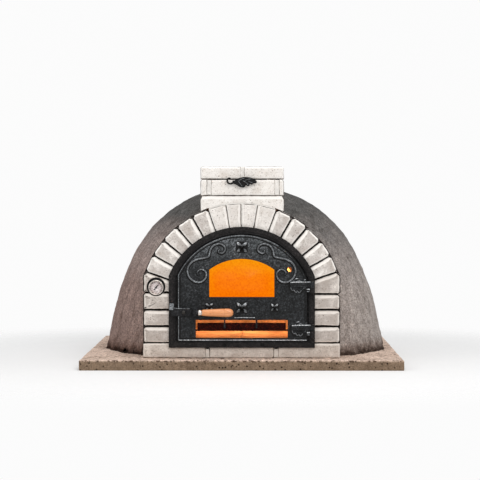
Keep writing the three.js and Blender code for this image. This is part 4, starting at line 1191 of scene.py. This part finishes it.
# hinge straps: ribbed plate with a scalloped leaf under it and a curl above; the top line, knuckle lines, curl and
# sprig in the pale irons are painted highlights, the scallop ridge in the lit relief iron is a painted highlight and
# the dark strip offset under it is painted shadow
for tag, zc in (("upper", 298.2), ("lower", 123.8)):
    x0 = 196 if tag == "upper" else 202
    strip(f"strap_{tag}_top", [(x0 + 1, Y0 - 6.0, zc + 8.6), (x0 + 22, Y0 - 6.4, zc + 9.8), (x0 + 50, Y0 - 6.4, zc + 10.2), (278, Y0 - 6.6, zc + 10.2)], 2.1, IRON_HIGHLIGHT, "door")
    strip(f"strap_{tag}_rib", [(x0 + 4, Y0 - 6.0, zc - 1), (x0 + 30, Y0 - 6.2, zc - 1.5), (272, Y0 - 6.2, zc - 1.5)], 2.4, IRON_L, "door", 0.7)
    for i, dz in enumerate((-19, -28)):
        strip(f"strap_{tag}_knuckle_{i}", [(263, Y0 - 4.6, zc + dz), (269, Y0 - 5.0, zc + dz - 0.6), (275, Y0 - 4.8, zc + dz)], 2.2 - 0.5 * i, IRON_HIGHLIGHT if i == 0 else IRON_LIT_RELIEF, "door", 0.7)
    low = [(x0 + 2, zc - 9), (x0 + 4, zc - 18), (x0 + 10, zc - 24), (x0 + 15, zc - 21), (x0 + 19, zc - 28), (x0 + 25, zc - 31), (x0 + 29, zc - 26),
           (x0 + 34, zc - 33), (x0 + 40, zc - 30), (x0 + 45, zc - 22), (x0 + 54, zc - 15), (x0 + 64, zc - 11)]
    strip(f"strap_{tag}_scallop", [(x, Y0 - 1.4, h) for x, h in low], 1.7, IRON_LIT_RELIEF, "door")
    strip(f"strap_{tag}_scallop_painted_shadow", [(x, Y0 - 0.1, h) for x, h in low], 4.2, IRON_D, "door", 0.22, dx=0.8, dz=-1.4)
    for i, (dx, dz, ln, w, a) in enumerate(((14, -11, 14, 4.5, -78), (27, -11, 17, 5, -84), (40, -11, 15, 4.5, -66))):
        leaf_shape(f"strap_{tag}_leaf_{i}", x0 + dx, zc + dz, ln, w, a, 5, IRON_L)
    up = [(x0 + 14, zc + 13), (x0 + 20, zc + 21), (x0 + 28, zc + 24), (x0 + 33, zc + 20), (x0 + 30, zc + 15), (x0 + 25, zc + 17)]
    strip(f"strap_{tag}_curl", [(x, Y0 - 1.4, h) for x, h in up], 1.6, IRON_HIGHLIGHT, "door")
    strip(f"strap_{tag}_sprig", [(x0 + 34, Y0 - 1.3, zc + 17), (x0 + 44, Y0 - 1.3, zc + 15), (x0 + 54, Y0 - 1.3, zc + 16), (x0 + 62, Y0 - 1.3, zc + 21)], 1.7, IRON_HIGHLIGHT, "door")

# painted shadow: a dark plate behind each strap showing past its left and lower sides, a darker line along its lower
# edge and a dark line at its left end
for tag, zc, x0 in (("upper", 298.2, 196), ("lower", 123.8, 202)):
    pts = [(x0 - 9, zc - 15), (x0 + 4, zc - 34), (x0 + 46, zc - 36), (x0 + 66, zc - 20), (x0 + 66, zc + 14), (x0 + 8, zc + 15), (x0 - 9, zc + 10)]
    me = prism(pts, Y0 - 0.7, Y0 + 1)
    b = bpy.data.objects.new(f"strap_{tag}_bed", me)
    bpy.context.scene.collection.objects.link(b)
    me.materials.append(IRON_D)
    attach(b, "door")
    strip(f"strap_{tag}_edge", [(x0 - 1, Y0 - 5.0, zc - 9.6), (x0 + 30, Y0 - 5.2, zc - 10.6), (270, Y0 - 5.2, zc - 10.8)], 1.1, IRON_L, "door")
    strip(f"strap_{tag}_end", [(x0 - 0.5, Y0 - 5.0, zc - 8), (x0 - 1.4, Y0 - 5.2, zc), (x0 - 0.5, Y0 - 5.0, zc + 8)], 1.6, IRON_D, "door")

# lever edges: the upper line in the lit relief iron is a painted highlight, the lower one is the lever's own iron
for i, (za, zb, rr, mt) in enumerate(((204.6, 200.6, 1.1, IRON_LIT_RELIEF), (172.5, 171.2, 1.0, IRON_L))):
    strip(f"lever_edge_{i}", [(-283, -575.2, za), (-262, -575.3, (za + zb) / 2), (-216, -575.3, zb), (-208, -577.8, zb)], rr, mt, "latch")
lathe("lever_bolt_head", [(0, 5.2), (4, 4.6), (7.6, 2.4), (9, -0.4), (9, -1.4), (0, -1.4)], 24, "y", (-233, -576.4, 186 + Z0), IRON_L, "latch", 50)

# ledge over the draught slot, its bright line in the highlight iron a painted highlight
strip("ledge_bead", [(-28, Y0 - 5.0, 164.6), (10, Y0 - 5.2, 165.0), (53, Y0 - 5.0, 164.6)], 1.6, IRON_HIGHLIGHT, "door")

# veins of the cast leaf pull; all but the first are in the lit relief iron as painted highlights
for i, v in enumerate(([(-31, 711.4), (-8, 716.6), (16, 716.6), (38, 713.6), (56, 711.8)], [(-14, 715.4), (-5, 704), (2, 694)], [(6, 716.4), (18, 708.6), (26, 699.4)],
                       [(26, 715), (38, 710), (45, 706)], [(-12, 716), (0, 723.4), (12, 727.4)], [(12, 716.8), (26, 722), (38, 724)])):
    strip(f"leaf_vein_{i + 1}", [(x, -573.1, h) for x, h in v], 0.9, IRON_L if i == 0 else IRON_LIT_RELIEF, "damper_body")

# painted shade: a dark ring in the recess round the thermometer stands in for the shade inside the recess
recess_shade = lathe("thermometer_recess_shade", [(0, 9), (36.2, 9), (37.2, 8), (37.5, 6), (37.5, -0.6), (0, -0.6)], 64, "y", (-346.0, FACE_Y + 13.6, 288.2 + Z0), IRON_D, "oven", 40)
carve(recess_shade, [drum(30.8, FACE_Y - 20, FACE_Y + 30, -346, 285, 64)], keep=0.1)

# turned handle
cy = -598
o = lathe("handle_turned", [(4, -157.9), (11.2, -157.9), (12.4, -156.6), (12.7, -154), (13.4, -138), (14.3, -120), (15.2, -104), (16, -88), (16.5, -76),
                            (16.6, -72.5), (16.0, -71.4), (15.3, -70), (16.0, -68.6), (16.8, -67.4), (16.9, -64), (16.9, -56), (16.5, -50), (15.4, -44), (13.4, -39.4),
                            (10.2, -35.8), (6, -33.6), (2, -33.1), (0, -33)], 48, "x", (0, cy, 186 + Z0), WOOD, "latch", 40, [(30, 0.0003)])
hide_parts("latch_handle")

# ---------------------------------------------------------------- light, floor
def area(name, loc, target, size, power, color=(1, 1, 1)):
    d = bpy.data.lights.new(name, "AREA")
    d.shape = "DISK"
    d.size = size
    d.energy = power
    d.color = color
    l = bpy.data.objects.new(name, d)
    bpy.context.scene.collection.objects.link(l)
    l.location = loc
    l.rotation_euler = (Vector(target) - Vector(loc)).to_track_quat("-Z", "Y").to_euler()
    return l


area("key", (1.9, -4.6, 3.6), (0, -0.3, 0.4), 2.6, 98)
area("fill", (-3.2, -4.2, 2.0), (0, -0.3, 0.4), 3.0, 40)
area("top", (0.2, -0.9, 4.6), (0, 0, 0.3), 3.0, 75)
for nm, loc, e, r in (("fire_a", (0.0, 0.12, 0.36), 6, 0.10), ("fire_b", (0.0, -0.30, 0.34), 1.5, 0.07), ("fire_c", (0.20, 0.24, 0.43), 1.4, 0.04)):
    d = bpy.data.lights.new(nm, "POINT")
    d.energy = e
    d.color = (1.0, 0.72, 0.2) if nm == "fire_c" else (1.0, 0.5, 0.24)
    d.shadow_soft_size = r
    l = bpy.data.objects.new(nm, d)
    l.location = loc
    bpy.context.scene.collection.objects.link(l)

world = bpy.data.worlds.new("studio")
bpy.context.scene.world = world
world.use_nodes = True
bg = world.node_tree.nodes["Background"]
bg.inputs[0].default_value = (0.93, 0.93, 0.93, 1)
bg.inputs[1].default_value = 0.62
seen = world.node_tree.nodes.new("ShaderNodeBackground")
seen.inputs[0].default_value = (0.97, 0.97, 0.97, 1)
seen.inputs[1].default_value = 1.0
lp = world.node_tree.nodes.new("ShaderNodeLightPath")
mx = world.node_tree.nodes.new("ShaderNodeMixShader")
world.node_tree.links.new(lp.outputs["Is Camera Ray"], mx.inputs[0])
world.node_tree.links.new(bg.outputs[0], mx.inputs[1])
world.node_tree.links.new(seen.outputs[0], mx.inputs[2])
world.node_tree.links.new(mx.outputs[0], world.node_tree.nodes["World Output"].inputs[0])

me = bpy.data.meshes.new("floor")
bm = bmesh.new()
bmesh.ops.create_grid(bm, x_segments=8, y_segments=8, size=12)
bm.to_mesh(me)
bm.free()
floor = bpy.data.objects.new("floor", me)
bpy.context.scene.collection.objects.link(floor)
fm = Mat("floor_paper")
fx, fy, fz = fm.sep()
far = fm.math("SQRT", fm.math("ADD", fm.math("MULTIPLY", fx, fx), fm.math("MULTIPLY", fy, fy)))
fm.set(Base_Color=fm.ramp(fm.noise(0.6, 2), [(0.3, (0.86, 0.86, 0.86, 1)), (0.7, (0.88, 0.88, 0.88, 1))]), Roughness=0.9,
       Alpha=fm.ramp(fm.math("MULTIPLY", far, 0.2), [(0.20, (1, 1, 1, 1)), (0.42, (0, 0, 0, 1))], "EASE"))
me.materials.append(fm.m)

vs = bpy.context.scene.view_settings
vs.view_transform = "Standard"
vs.look = "None"
